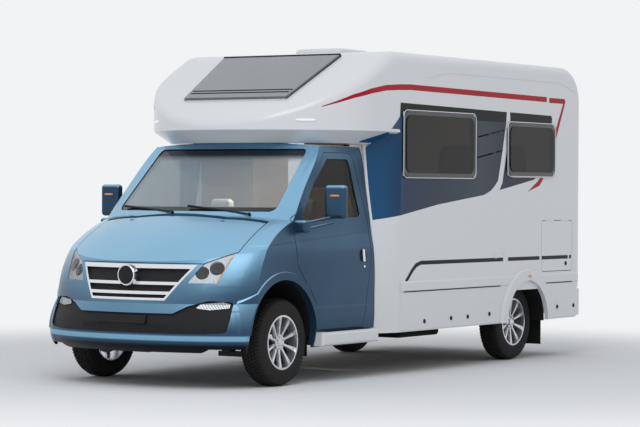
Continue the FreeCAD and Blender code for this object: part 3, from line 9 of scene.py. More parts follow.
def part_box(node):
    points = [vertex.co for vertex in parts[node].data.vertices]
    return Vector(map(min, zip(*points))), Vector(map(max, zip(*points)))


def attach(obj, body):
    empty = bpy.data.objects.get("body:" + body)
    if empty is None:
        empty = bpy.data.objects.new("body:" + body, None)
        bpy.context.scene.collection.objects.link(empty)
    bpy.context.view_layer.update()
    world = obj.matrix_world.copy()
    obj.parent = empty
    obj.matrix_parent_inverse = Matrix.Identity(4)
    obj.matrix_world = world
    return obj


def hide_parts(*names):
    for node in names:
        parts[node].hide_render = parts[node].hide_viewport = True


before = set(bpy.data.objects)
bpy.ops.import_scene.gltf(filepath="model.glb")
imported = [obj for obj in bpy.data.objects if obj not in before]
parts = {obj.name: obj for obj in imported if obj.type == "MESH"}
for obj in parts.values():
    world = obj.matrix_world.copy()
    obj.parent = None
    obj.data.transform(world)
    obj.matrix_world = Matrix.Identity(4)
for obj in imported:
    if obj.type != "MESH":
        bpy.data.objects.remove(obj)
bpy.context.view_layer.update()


# The view. The camera stands off the front left corner at chest height and looks nearly level through a
# long lens.
def placed(name, data):
    """Object of a mesh, a lamp or a camera, put into the scene."""
    item = bpy.data.objects.new(name, data)
    bpy.context.scene.collection.objects.link(item)
    return item


view_place = (11.689, -18.084, 1.5685)
view_turn, view_pitch, view_roll = (math.radians(angle) for angle in (32.937, -0.563, 0.314))
view_ahead = Vector((-math.sin(view_turn), math.cos(view_turn), math.tan(view_pitch))).normalized()
view_level = Vector((math.cos(view_turn), math.sin(view_turn), 0))
view_above = view_level.cross(view_ahead)
view_across = view_level * math.cos(view_roll) + view_above * math.sin(view_roll)
view_upright = view_above * math.cos(view_roll) - view_level * math.sin(view_roll)
lens = bpy.data.cameras.new("lens")
lens.sensor_width = 36
lens.lens = 136.5
lens.clip_end = 300
camera = placed("camera", lens)
camera.matrix_world = Matrix((view_across, view_upright, -view_ahead)).transposed().to_4x4()
camera.location = view_place
bpy.context.scene.camera = camera


# The studio. A pale floor that fades into the pale surround, a broad lamp over the front left corner, an even
# sky of light round the whole vehicle and two small lamps inside it.
class Value:
    """One output in a finish. Plain arithmetic on it adds the Math nodes."""

    def __init__(self, finish, socket):
        self.finish = finish
        self.socket = socket

    def math(self, operation, *others):
        return self.finish.add("ShaderNodeMath", {"operation": operation}, [self, *others])

    def __add__(self, other):
        return self.math("ADD", other)

    def __sub__(self, other):
        return self.math("SUBTRACT", other)

    def __rsub__(self, other):
        return self.finish.add("ShaderNodeMath", {"operation": "SUBTRACT"}, [other, self])

    def __mul__(self, other):
        return self.math("MULTIPLY", other)

    def __truediv__(self, other):
        return self.math("DIVIDE", other)

    def __abs__(self):
        return self.math("ABSOLUTE")

    __radd__ = __add__
    __rmul__ = __mul__

    def rise(self, low, high):
        """0 below one value, 1 above the other, with a soft step between."""
        return self.finish.add("ShaderNodeMapRange", {"interpolation_type": "SMOOTHSTEP"},
                               {"Value": self, "From Min": low, "From Max": high})

    def band(self, low, high, soft):
        """1 between two values, with soft edges."""
        return self.rise(low - soft, low + soft) * (1 - self.rise(high - soft, high + soft))


class Finish:
    """A material in the making, or the sky, with the coordinates of the piece to hand."""

    def __init__(self, name, store=bpy.data.materials, output="ShaderNodeOutputMaterial"):
        self.made = store.new(name)
        self.made.use_nodes = True
        self.tree = self.made.node_tree
        self.tree.nodes.clear()
        self.output = output
        self.place = self.add("ShaderNodeTexCoord", output="Object")
        self.x, self.y, self.z = (
            self.add("ShaderNodeSeparateXYZ", inputs=[self.place], output=axis) for axis in "XYZ")

    def add(self, kind, settings=None, inputs=(), output=0):
        """Add one node: its settings first, a ramp's stops too, then the values or links of its sockets."""
        node = self.tree.nodes.new(kind)
        for key, value in (settings or {}).items():
            if key == "stops":
                for _ in value[2:]:
                    node.color_ramp.elements.new(0.5)
                for element, (position, colour) in zip(node.color_ramp.elements, value):
                    element.position = position
                    element.color = (*colour, 1)
            else:
                setattr(node, key, value)
        for key, value in inputs.items() if isinstance(inputs, dict) else enumerate(inputs):
            if isinstance(value, Value):
                self.tree.links.new(value.socket, node.inputs[key])
            elif isinstance(value, tuple) and len(value) == 3 and node.inputs[key].type == "RGBA":
                node.inputs[key].default_value = (*value, 1)
            else:
                node.inputs[key].default_value = value
        return Value(self, node.outputs[output]) if node.outputs else None

    def blend(self, share, low, high):
        """Colour between two colours by a share."""
        colours = {}
        for index, colour in ((6, low), (7, high)):
            colours[index] = colour if isinstance(colour, Value) else (*colour, 1)
        return self.add("ShaderNodeMix", {"data_type": "RGBA"}, {0: share, **colours}, output=2)

    def noise(self, scale, detail=2.0, stretch=(1, 1, 1)):
        """Smooth noise from 0 to 1, with its cells stretched along an axis where asked."""
        where = self.add("ShaderNodeVectorMath", {"operation": "MULTIPLY"}, [self.place, stretch])
        return self.add("ShaderNodeTexNoise", inputs={"Vector": where, "Scale": scale, "Detail": detail})

    def cells(self, scale):
        """Distance to the middle of small cells, for a leather-like grain."""
        return self.add("ShaderNodeTexVoronoi", inputs={"Vector": self.place, "Scale": scale}, output="Distance")

    def ribs(self, scale):
        """Waves across the vehicle, for the upright ribs of a lens."""
        return self.add("ShaderNodeTexWave", {"bands_direction": "X"}, {"Vector": self.place, "Scale": scale})

    def bump(self, height, distance):
        """Normal from a height field given in shares of a distance."""
        return self.add("ShaderNodeBump", inputs={"Height": height, "Distance": distance}, output="Normal")

    def slant(self):
        """0 where a face is seen straight on, 1 where it is seen edge on."""
        return self.add("ShaderNodeLayerWeight", inputs={"Blend": 0.5}, output="Facing").math("POWER", 4.0)

    def principled(self, **sockets):
        """Principled shader. Underscores in a name stand for spaces."""
        inputs = {key.replace("_", " "): value for key, value in sockets.items()}
        return self.add("ShaderNodeBsdfPrincipled", inputs=inputs)

    def close(self, shader):
        """Join a shader to the output and hand over what was made."""
        self.add(self.output, inputs=[shader])
        return self.made

    def surface(self, **sockets):
        """Close the finish with a Principled surface."""
        return self.close(self.principled(**sockets))

    def pane(self, share, tint, **sockets):
        """Close the finish as a pane: a Principled surface by a share, and a clear tint for the rest."""
        clear = self.add("ShaderNodeBsdfTransparent", inputs={"Color": tint})
        return self.close(self.add("ShaderNodeMixShader", inputs=[share, clear, self.principled(**sockets)]))


def mesh_of(name, mesh):
    """Mesh data of a finished bmesh."""
    data = bpy.data.meshes.new(name)
    mesh.to_mesh(data)
    mesh.free()
    return data


def area_lamp(name, place, power, size):
    """Square lamp that shines down."""
    data = bpy.data.lights.new(name, "AREA")
    data.energy = power
    data.size = size
    lamp = placed(name, data)
    lamp.location = place
    return lamp


surround_colour = (0.88, 0.895, 0.91)
floor_colour = (0.80, 0.81, 0.82)
floor_radius = 30.0
floor_fade = (3.6, 7.5)
sky_colour = (0.95, 0.97, 1.0)
sky_level = 0.66
lamp_place = Vector((4.0, -9.0, 9.0))
lamp_power = 430.0
lamp_size = 7.0
inner_lamps = (("cab_lamp", (0.0, -0.95, 1.86), 9.0, 0.4), ("living_lamp", (0.0, 0.9, 2.62), 30.0, 1.2))

floor_mesh = bmesh.new()
bmesh.ops.create_circle(floor_mesh, cap_ends=True, segments=96, radius=floor_radius)
floor = placed("floor", mesh_of("floor", floor_mesh))
floor_finish = Finish("pale_floor")
floor_reach = floor_finish.add("ShaderNodeVectorMath", {"operation": "LENGTH"}, [floor_finish.place], "Value")
floor_matt = floor_finish.add("ShaderNodeBsdfDiffuse", inputs={"Color": floor_colour})
floor_clear = floor_finish.add("ShaderNodeBsdfTransparent")
floor.data.materials.append(floor_finish.close(floor_finish.add(
    "ShaderNodeMixShader", inputs=[floor_reach.rise(*floor_fade), floor_matt, floor_clear])))

sky = Finish("sky", bpy.data.worlds, "ShaderNodeOutputWorld")
sky_camera, sky_mirrored, sky_through = (
    sky.add("ShaderNodeLightPath", output="Is " + kind + " Ray") for kind in ("Camera", "Glossy", "Transmission"))
sky_seen = sky_camera.math("MAXIMUM", sky_mirrored).math("MAXIMUM", sky_through)
sky_light = sky.add("ShaderNodeBackground", inputs={"Color": sky_colour, "Strength": sky_level})
sky_view = sky.add("ShaderNodeBackground", inputs={"Color": surround_colour})
bpy.context.scene.world = sky.close(sky.add("ShaderNodeMixShader", inputs=[sky_seen, sky_light, sky_view]))
bpy.context.scene.view_settings.view_transform = "Standard"

key_lamp = area_lamp("key_lamp", lamp_place, lamp_power, lamp_size)
key_lamp.rotation_mode = "QUATERNION"
key_lamp.rotation_quaternion = (-lamp_place).to_track_quat("-Z", "Y")
for inner_values in inner_lamps:
    inner_lamp = area_lamp(*inner_values)
    inner_lamp.visible_camera = inner_lamp.visible_glossy = False


# The cab. Pressed steel panels in deep blue metallic paint under clear lacquer, welded to the cab's frame;
# the bonnet and the doors hang on hinges in the same paint.
def wear(material, *names):
    """Give construction pieces their finish."""
    for name in names:
        parts[name].data.materials.clear()
        parts[name].data.materials.append(material)


# The two blues are lit and shaded copies of one metallic paint: painted light on upward faces, painted shade on
# upright faces.
paint_shaded_blue = (0.007, 0.026, 0.066)
paint_lit_blue = (0.270, 0.540, 0.760)
paint_shadow = (0.004, 0.006, 0.010)
flank_start = (0.80, 0.86)
belt_point = (-1.86, 1.152)
belt_slope = 0.065
sill_height = 0.615
crease_height = 0.006
crease_soft = 0.010
nose_end = (-2.34, -2.26)
lip_heights = (0.385, 0.425)
lip_soft = 0.008
foot_heights = (0.340, 0.375)

paint = Finish("blue_metallic_paint")
paint_flakes = paint.noise(900.0, 1.0)
paint_drift = paint.noise(1.6, 1.0)
paint_normal = paint.add("ShaderNodeNewGeometry", output="Normal")
paint_lift = paint.add("ShaderNodeSeparateXYZ", inputs=[paint_normal], output="Z")
# Painted light and shade: the colour turns light blue as a face turns upwards and navy as it stands upright.
paint_lit_share = paint_lift.rise(0.05, 0.80) * 0.8 + paint_drift * 0.12 + paint_flakes * 0.08
paint_side = abs(paint.x).rise(*flank_start)
paint_belt = paint.z - (paint.y - belt_point[0]) * belt_slope - belt_point[1]
paint_above, paint_below = (edge.rise(-crease_soft, crease_soft) for edge in (paint_belt, paint.z - sill_height))
paint_creases = paint_side * (paint_above + (1 - paint_below))
paint_front = 1 - paint.y.rise(*nose_end)
# A light band along the front bumper's lip is a painted highlight.
paint_lip_highlight = paint.z.band(*lip_heights, lip_soft) * paint_front
# The bumper's foot under the nose turns to near black, a painted shadow.
paint_foot_shadow = (1 - paint.z.rise(*foot_heights)) * paint_front
paint_lit_tone = (paint_lit_share + paint_lip_highlight * 0.75).math("MINIMUM", 1.0)
wear(paint.surface(
    Base_Color=paint.blend(paint_foot_shadow, paint.blend(paint_lit_tone, paint_shaded_blue, paint_lit_blue), paint_shadow),
    Metallic=0.55,
    Roughness=0.27 + paint_flakes * 0.10,
    Specular_IOR_Level=0.10,
    Coat_Weight=0.06 + paint_lit_share * 0.55,
    Coat_Roughness=0.03,
    Normal=paint.bump(paint_creases + paint_flakes * 0.004, crease_height)),
    "cab_shell", "bonnet", "cab_door_left", "cab_door_right", "front_bumper")


# The white body. Glass-reinforced shells and moulded skirts in glossy white gelcoat, bonded and sealed at
# the long edges.
def gelcoat(name, colour, roughness):
    """White resin surface with the faint waviness of a moulded panel."""
    finish = Finish(name)
    wave = finish.noise(2.2, 1.0)
    panel_mottle = finish.noise(9.0, 4.0)
    # Colour darkens slightly in patches low on the body, below 0.75 m.
    low = (1 - finish.z.rise(0.32, 0.75)) * panel_mottle * 0.10
    return finish.surface(
        Base_Color=finish.blend(low + wave * 0.03, colour, tuple(0.82 * c for c in colour)),
        Roughness=roughness + panel_mottle * 0.06,
        Coat_Weight=0.35,
        Coat_Roughness=0.06,
        Normal=finish.bump(wave, 0.002))


white_shell = gelcoat("white_gelcoat", (0.70, 0.715, 0.74), 0.26)
white_moulding = gelcoat("white_moulding", (0.69, 0.705, 0.725), 0.34)
wear(white_shell, "side_wall_left", "side_wall_right", "rear_wall", "roof", "overcab_shell", "entry_door",
     "service_door", "cab_fairings")
wear(white_moulding, "side_skirts", "cab_steps", "rear_bumper", "roof_hatch")


# Vinyl graphics. Thin film laid on the side walls, doors and nose: a red coach line, a black band over the
# windows, a blue field of one metallic blue whose lighter blue at the front and dark slate behind are painted
# light and shade, and a black line low on the side.
film_lift = 0.0007
film_reach = 1.8
film_step = 0.04
film_curve_step = 0.018
film_curve_y = -0.44
film_skin = 0.5
film_flat = 0.15
film_edge = 0.004
sides = ((1, "left"), (-1, "right"))


def surface_tree(*names):
    """Search tree over the faces of some construction pieces."""
    points, faces = [], []
    for name in names:
        mesh = parts[name].data
        start = len(points)
        points += [vertex.co.copy() for vertex in mesh.vertices]
        faces += [[start + index for index in face.vertices] for face in mesh.polygons]
    return BVHTree.FromPolygons(points, faces)


def plain_piece(name, mesh, material, body):
    """Object from a finished bmesh, riding on a body."""
    piece = placed(name, mesh_of(name, mesh))
    piece.data.materials.append(material)
    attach(piece, body)
    return piece


def grown(low, high, gap):
    """Ends of a box in length and height, moved outwards by a gap."""
    return low.y - gap, high.y + gap, low.z - gap, high.z + gap


def inside(point, y0, y1, z0, z1):
    """Whether a point lies between ends in length and height."""
    return y0 < point.y < y1 and z0 < point.z < z1


def film(name, outlines, side, under, body, material, gaps=(), only=None):
    """Film cut to outlines in length and height, laid on what lies under it on one side of the vehicle."""
    tree = surface_tree(*under)
    mesh = bmesh.new()
    for outline in outlines:
        mesh.faces.new([mesh.verts.new((0, y, z)) for y, z in outline])
    lengths = [y for outline in outlines for y, z in outline]
    heights = [z for outline in outlines for y, z in outline]
    cuts = []
    y = min(lengths)
    while y < max(lengths):
        cuts.append(((0, y, 0), (0, 1, 0)))
        y += film_curve_step if y < film_curve_y else film_step
    z = min(heights)
    while z < max(heights):
        cuts.append(((0, 0, z), (0, 0, 1)))
        z += film_step
    for y0, y1, z0, z1 in [*gaps, *([only] if only else [])]:
        cuts += [((0, y, 0), (0, 1, 0)) for y in (y0, y1)] + [((0, 0, z), (0, 0, 1)) for z in (z0, z1)]
    for place, normal in cuts:
        bmesh.ops.bisect_plane(mesh, geom=mesh.verts[:] + mesh.edges[:] + mesh.faces[:], plane_co=place,
                               plane_no=normal)
    outside = []
    for face in mesh.faces:
        middle = face.calc_center_median()
        if any(inside(middle, *ends) for ends in gaps) or (only and not inside(middle, *only)):
            outside.append(face)
    bmesh.ops.delete(mesh, geom=outside, context="FACES")
    missed = []
    for vertex in mesh.verts:
        start = Vector((side * film_reach, vertex.co.y, vertex.co.z))
        hit, normal, _, _ = tree.ray_cast(start, Vector((-side, 0, 0)))
        if hit is None or side * hit.x < film_skin or side * normal.x < film_flat:
            missed.append(vertex)
        else:
            vertex.co = hit + normal * film_lift
    bmesh.ops.delete(mesh, geom=missed, context="VERTS")
    if not mesh.faces:
        return
    bmesh.ops.triangulate(mesh, faces=mesh.faces[:])
    for face in mesh.faces:
        face.normal_update()
        if side * face.normal.x < 0:
            face.normal_flip()
        face.smooth = True
    piece = plain_piece(name, mesh, material, body)


def stroke(points, widths):
    """Outline of a stripe along a line of points, with its width at each point."""
    upper, lower = [], []
    for i, (y, z) in enumerate(points):
        ay, az = points[max(i - 1, 0)]
        by, bz = points[min(i + 1, len(points) - 1)]
        run = math.hypot(by - ay, bz - az)
        half = widths[i] / 2
        upper.append((y - (bz - az) / run * half, z + (by - ay) / run * half))
        lower.append((y + (bz - az) / run * half, z - (by - ay) / run * half))
    return upper + lower[::-1]


def mottled(name, colour, other, roughness, spread, scale, detail=2.0, stretch=(1, 1, 1), height=0.0,
            **sockets):
    """Surface whose roughness drifts with a noise, and its colour too where another colour is given."""
    finish = Finish(name)
    drift = finish.noise(scale, detail, stretch)
    if height:
        sockets["Normal"] = finish.bump(drift, height)
    return finish.surface(Base_Color=finish.blend(drift, colour, other) if other else colour,
                          Roughness=roughness + drift * spread, **sockets)


def vinyl(name, colour):
    """Satin vinyl film of one colour."""
    return mottled(name, colour, tuple(0.85 * c for c in colour), 0.34, 0.08, 60.0, Specular_IOR_Level=0.15)


film_red = vinyl("red_film", (0.42, 0.010, 0.022))
film_black = vinyl("black_film", (0.007, 0.008, 0.011))
field_start = -0.91
field_length = 3.0
field = Finish("blue_field_film")
# Painted light and shade: the ramp along the length turns one metallic blue into lighter blue at the front and
# dark slate along the wall.
field_lit_ramp = field.add("ShaderNodeValToRGB", {"stops": [
    (0.00, (0.006, 0.085, 0.220)), (0.10, (0.008, 0.070, 0.170)), (0.18, (0.008, 0.026, 0.075)),
    (0.34, (0.014, 0.030, 0.060)), (0.62, (0.030, 0.045, 0.066)), (0.78, (0.008, 0.016, 0.040)),
    (1.00, (0.007, 0.013, 0.036))]}, [(field.y - field_start) / field_length])
film_blue = field.surface(Base_Color=field_lit_ramp, Metallic=0.15, Roughness=0.28 + field.noise(3.0) * 0.05,
                          Specular_IOR_Level=0.2, Coat_Weight=0.1)

red_line = [(-1.342, 2.253), (-1.112, 2.342), (-0.924, 2.391), (-0.701, 2.426), (-0.474, 2.440), (-0.292, 2.446),
            (2.197, 2.425)]
red_widths = [0.006, 0.030, 0.042, 0.046, 0.048, 0.048, 0.048]
red_corner = [(2.246, 2.396), (2.246, 2.444), (2.560, 2.443), (2.578, 2.418), (2.345, 1.980), (2.118, 1.664),
              (2.055, 1.615), (1.828, 1.560), (2.030, 1.660), (2.075, 1.690), (2.318, 2.040), (2.530, 2.396)]
band_front = [(-0.470, 2.195), (-0.462, 2.310), (1.415, 2.285), (1.405, 2.190)]
band_back = [(1.485, 2.190), (1.478, 2.285), (2.290, 2.275), (2.306, 2.245), (2.296, 2.170)]
field_front = [(-0.905, 1.285), (-0.462, 1.353), (0.177, 1.445), (0.998, 1.529), (1.127, 1.569), (1.201, 1.615),
               (1.257, 1.660), (1.330, 1.900), (1.405, 2.190), (-0.470, 2.195), (-0.520, 2.150), (-0.640, 2.060),
               (-0.905, 1.980)]
field_back = [(1.287, 1.574), (1.951, 1.672), (2.080, 1.745), (2.120, 1.800), (2.120, 2.180), (1.485, 2.190),
              (1.340, 1.640)]
field_marks = [stroke([(0.877, 2.046), (1.354, 2.116)], [0.014, 0.014]),
               stroke([(0.865, 1.861), (1.342, 1.935)], [0.014, 0.014])]
low_line = [stroke([(-0.362, 0.790), (-0.322, 0.820), (-0.257, 0.880), (-0.190, 0.925), (-0.110, 0.945),
                    (1.360, 0.943)], [0.030, 0.034, 0.036, 0.036, 0.034, 0.034]),
            stroke([(1.455, 0.943), (2.645, 0.941)], [0.034, 0.034]),
            stroke([(2.672, 0.941), (2.715, 0.941)], [0.034, 0.034])]
window_gaps = [(-0.42, 0.82, 1.69, 2.24), (1.43, 2.345, 1.71, 2.19)]
film_sets = (
    ("red_coach_line", [stroke(red_line, red_widths), red_corner], film_red),
    ("black_band", [band_front, band_back, *field_marks], film_black),
    ("blue_field", [field_front, field_back], film_blue),
    ("low_black_line", low_line, film_black))
side_nodes = {side: ("side_wall_" + side_name, "cab_fairings", "overcab_shell") for side, side_name in sides}
entry_low, entry_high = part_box("entry_door")
locker_low, locker_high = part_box("service_door")
side_doors = {1: ("service_door", locker_low, locker_high), -1: ("entry_door", entry_low, entry_high)}
door_spans = {side: grown(low, high, film_edge) for side, (_, low, high) in side_doors.items()}

for side, side_name in sides:
    door, door_low, door_high = side_doors[side]
    gaps = [door_spans[side]] + (window_gaps if side > 0 else [])
    for film_name, outlines, material in film_sets:
        piece_name = film_name + "_" + side_name
        film(piece_name, outlines, side, side_nodes[side], "root", material, gaps)
        if side < 0 or film_name == "low_black_line":
            film(piece_name + "_on_door", outlines, side, (door,), door, material, (),
                 grown(door_low, door_high, -film_edge))


# Grained plastic, injection moulded and clipped in place: black for the bumper's insert, the panel behind the
# grille and the wipers, grey for the dashboard, dull black for the wheel housings, tanks and mud flaps.
def moulded(name, colour, roughness, grain_scale, grain_height):
    """Plastic with a fine leather-like grain."""
    finish = Finish(name)
    grain = finish.cells(grain_scale)
    return finish.surface(Base_Color=finish.blend(finish.noise(4.0), colour, tuple(1.5 * c for c in colour)),
                          Roughness=roughness + grain * 0.10, Specular_IOR_Level=0.15,
                          Normal=finish.bump(grain, grain_height))


black_plastic = moulded("black_plastic", (0.012, 0.012, 0.014), 0.42, 900.0, 0.0006)
dash_plastic = moulded("dash_plastic", (0.20, 0.205, 0.21), 0.55, 500.0, 0.0008)
housing_plastic = moulded("housing_plastic", (0.010, 0.010, 0.011), 0.75, 300.0, 0.0010)
wear(black_plastic, "bumper_insert", "grille_backing", "wipers")
wear(dash_plastic, "dashboard", "cab_floor")
wear(housing_plastic, "wheel_housings", "tanks", "mud_flaps")


# The grille. Chromed bars in one frame round a plain disc, held by the panel behind it.
chrome_metal = mottled("chrome", (0.80, 0.81, 0.83), None, 0.06, 0.05, 14.0, Metallic=1.0)
wear(chrome_metal, "grille")


# Glass. Laminated windscreen with a dark band along its head, tempered door glass, dark acrylic panes in the
# body and over the screen, held in black frames.
def clear_pane(name, tint, colour, density):
    """See-through pane: tinted where looked straight through, bright where it mirrors at a slant."""
    finish = Finish(name)
    return finish.pane(density + finish.slant() * (1 - density), tint, Base_Color=colour, Roughness=0.03,
                       Specular_IOR_Level=0.6, Coat_Weight=0.5)


head_band = (0.115, 0.045)
foot_rim = (0.030, 0.045)
screen_low, screen_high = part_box("windscreen")
screen = Finish("windscreen_glass")
screen_dark = (screen.z.rise(*(screen_high.z - depth for depth in head_band))
               + (1 - screen.z.rise(*(screen_low.z + depth for depth in foot_rim))))
# A pale blue-grey surface over 22 percent of the clear glass is a painted reflection; the dark head band and foot
# rim are the glass's own tint.
screen_veil_and_band_share = (0.22 + screen_dark * 0.70 + screen.slant()).math("MINIMUM", 1.0)
screen_veil_and_band_colour = screen.blend(screen_dark.math("MINIMUM", 1.0), (0.50, 0.58, 0.64), (0.010, 0.016, 0.026))
wear(screen.pane(screen_veil_and_band_share, (0.93, 0.96, 0.96), Base_Color=screen_veil_and_band_colour, Roughness=0.03), "windscreen")
wear(clear_pane("door_glass", (0.50, 0.51, 0.50), (0.010, 0.011, 0.012), 0.20), "door_glass_left",
     "door_glass_right")
wear(clear_pane("tinted_acrylic", (0.30, 0.28, 0.25), (0.012, 0.012, 0.013), 0.30), "window_panes",
     "entry_door_pane")
smoked = Finish("smoked_skylight")
wear(smoked.surface(Base_Color=smoked.blend(smoked.noise(5.0), (0.070, 0.085, 0.105), (0.11, 0.13, 0.15)),
                    Roughness=0.20, Coat_Weight=1.0, Coat_Roughness=0.05), "skylight")
wear(mottled("window_frame", (0.016, 0.017, 0.019), None, 0.34, 0.08, 30.0, Coat_Weight=0.4), "window_frames")


# Lamps. Clear lenses over ribbed bowls at the front, with fog lamps below them in the same mouldings, and red
# ribbed lenses behind.
def ribbed_lens(name, colour, other, roughness, scale, height):
    """Coloured lens with fine upright ribs."""
    finish = Finish(name)
    ribs = finish.ribs(scale)
    return finish.surface(Base_Color=finish.blend(ribs, colour, other), Roughness=roughness, Coat_Weight=1.0,
                          Normal=finish.bump(ribs, height))


red_lens = ribbed_lens("red_lens", (0.30, 0.006, 0.008), (0.45, 0.015, 0.015), 0.12, 40.0, 0.001)
wear(red_lens, "tail_lamps")
lamp_split = 0.755
lamp_soft = 0.002
brow_point = (0.604, 0.945)
brow_slope = 0.483
amber_point = (0.722, 0.83)
amber_slope = 0.25
amber_edge = (0.006, 0.010)
housing = Finish("lamp_reflector")
housing_top = housing.z - (abs(housing.x) - brow_point[0]) * brow_slope - brow_point[1]
housing_rim = abs(housing.x) - (housing.z - amber_point[1]) * amber_slope - amber_point[0]
housing_ribs = housing.ribs(26.0)
housing_white = housing_top.rise(-lamp_soft, lamp_soft)
housing_amber = housing_rim.rise(*amber_edge) * (1 - housing_white)
housing_tint = housing.blend(housing_white, (0.66, 0.68, 0.70), (0.90, 0.92, 0.95))
wear(housing.surface(
    Base_Color=housing.blend(housing_amber, housing_tint, (0.80, 0.42, 0.16)),
    Metallic=0.60 - housing_white * 0.55 - housing_amber * 0.3, Roughness=0.30 + housing_ribs * 0.10,
    Normal=housing.bump(housing_ribs, 0.0015)), "lamp_housings")
front_lens = Finish("fog_lamp")
lens_ribs = front_lens.ribs(30.0)
lens_below = 1 - front_lens.z.rise(lamp_split - lamp_soft, lamp_split)
lens_share = (0.10 + front_lens.slant() * 0.9 + lens_below).math("MINIMUM", 1.0)
wear(front_lens.pane(
    lens_share, (0.96, 0.97, 0.98),
    Base_Color=front_lens.blend(lens_ribs, (0.10, 0.11, 0.12), (0.62, 0.64, 0.66)), Metallic=lens_below * 0.9,
    Roughness=0.16, Normal=front_lens.bump(lens_ribs, 0.0012)), "headlamps")


# The underside. Black chassis frame and axles, cast engine block, dull steel exhaust, bolted up below the floor.
chassis_black = mottled("chassis_black", (0.010, 0.010, 0.011), (0.030, 0.027, 0.024), 0.50, 0.2, 12.0, 4.0)
wear(chassis_black, "chassis_frame", "rear_axle", "knuckle_left", "knuckle_right")
wear(mottled("cast_block", (0.16, 0.16, 0.17), None, 0.55, 0.2, 160.0, 3.0, height=0.001, Metallic=0.7), "engine")
wear(mottled("exhaust_steel", (0.30, 0.27, 0.24), (0.16, 0.13, 0.11), 0.42, 0.2, 7.0, 4.0, Metallic=0.9),
     "exhaust")


# Inside the living space. Floor and furniture boards with an oak look, screwed together.
wear(mottled("oak_boards", (0.42, 0.27, 0.15), (0.24, 0.14, 0.07), 0.42, 0.12, 9.0, 5.0, (6.0, 0.6, 6.0), 0.0008),
     "living_floor", "furniture")


# Seats and cushions. Cream leather sewn over shaped foam: the cab seats have bolsters at their sides and a
# sewn centre panel, and the living space has a bench pad and a mattress. They rest on the seat bases.
def settled(item):
    """Mesh of an object with its modifiers applied and taken off it."""
    graph = bpy.context.evaluated_depsgraph_get()
    data = bpy.data.meshes.new_from_object(item.evaluated_get(graph), depsgraph=graph)
    item.modifiers.clear()
    return data


def block(mesh, half, heights, bevel, place=Matrix(), segments=2):
    """Add a bar with rounded edges, given by its half sizes and its heights above the surface."""
    low, high = (-half[0], -half[1], heights[0]), (half[0], half[1], heights[1])
    verts = bmesh.ops.create_cube(mesh, size=1.0)["verts"]
    for vertex in verts:
        vertex.co = Vector([low[k] + (high[k] - low[k]) * (vertex.co[k] + 0.5) for k in range(3)])
    edges = list(dict.fromkeys(edge for vertex in verts for edge in vertex.link_edges))
    made = bmesh.ops.bevel(mesh, geom=edges, offset=bevel, segments=segments, affect="EDGES")
    faces = {face for vertex in made["verts"] for face in vertex.link_faces}
    for vertex in {vertex for face in faces for vertex in face.verts}:
        vertex.co = place @ vertex.co


leather = Finish("cream_leather")
leather_grain = leather.cells(260.0)
cream_leather = leather.surface(
    Base_Color=leather.blend(leather.noise(6.0), (0.70, 0.66, 0.57), (0.60, 0.55, 0.46)),
    Roughness=0.45 + leather_grain * 0.15, Normal=leather.bump(leather_grain, 0.0012))
soft_frames = 20
soft_pressure = 4.0
soft_cap = 0.022
soft_margin = 0.003
soft_start = 0.012
soft_round = 0.6
panel_start = 0.3
panel_share = 0.60
panel_stretch = 0.74
panel_depth = 0.012
seam_depth = 0.007
seam_width = 0.035
seat_pads = (("seat_cushion_", 0.010, (2, 1)), ("seat_back_", 0.010, (1, -1)), ("headrest_", 0.007, (1, -1)))
living_pads = (("mattress", 0.020), ("bench_pad", 0.012))


def pad_spaces(node):
    """Low and high corner of each pad of a construction piece."""
    mesh = bmesh.new()
    mesh.from_mesh(parts[node].data)
    bmesh.ops.remove_doubles(mesh, verts=mesh.verts[:], dist=1e-6)
    left, spaces = set(mesh.verts), []
    while left:
        reach, patch = [left.pop()], []
        while reach:
            vertex = reach.pop()
            patch.append(vertex.co.copy())
            near = {edge.other_vert(vertex) for edge in vertex.link_edges} & left
            left -= near
            reach += near
        spaces.append([Vector([pick(point[k] for point in patch) for k in range(3)]) for pick in (min, max)])
    mesh.free()
    return sorted(spaces, key=lambda ends: (ends[0].x > 0, ends[0].z))


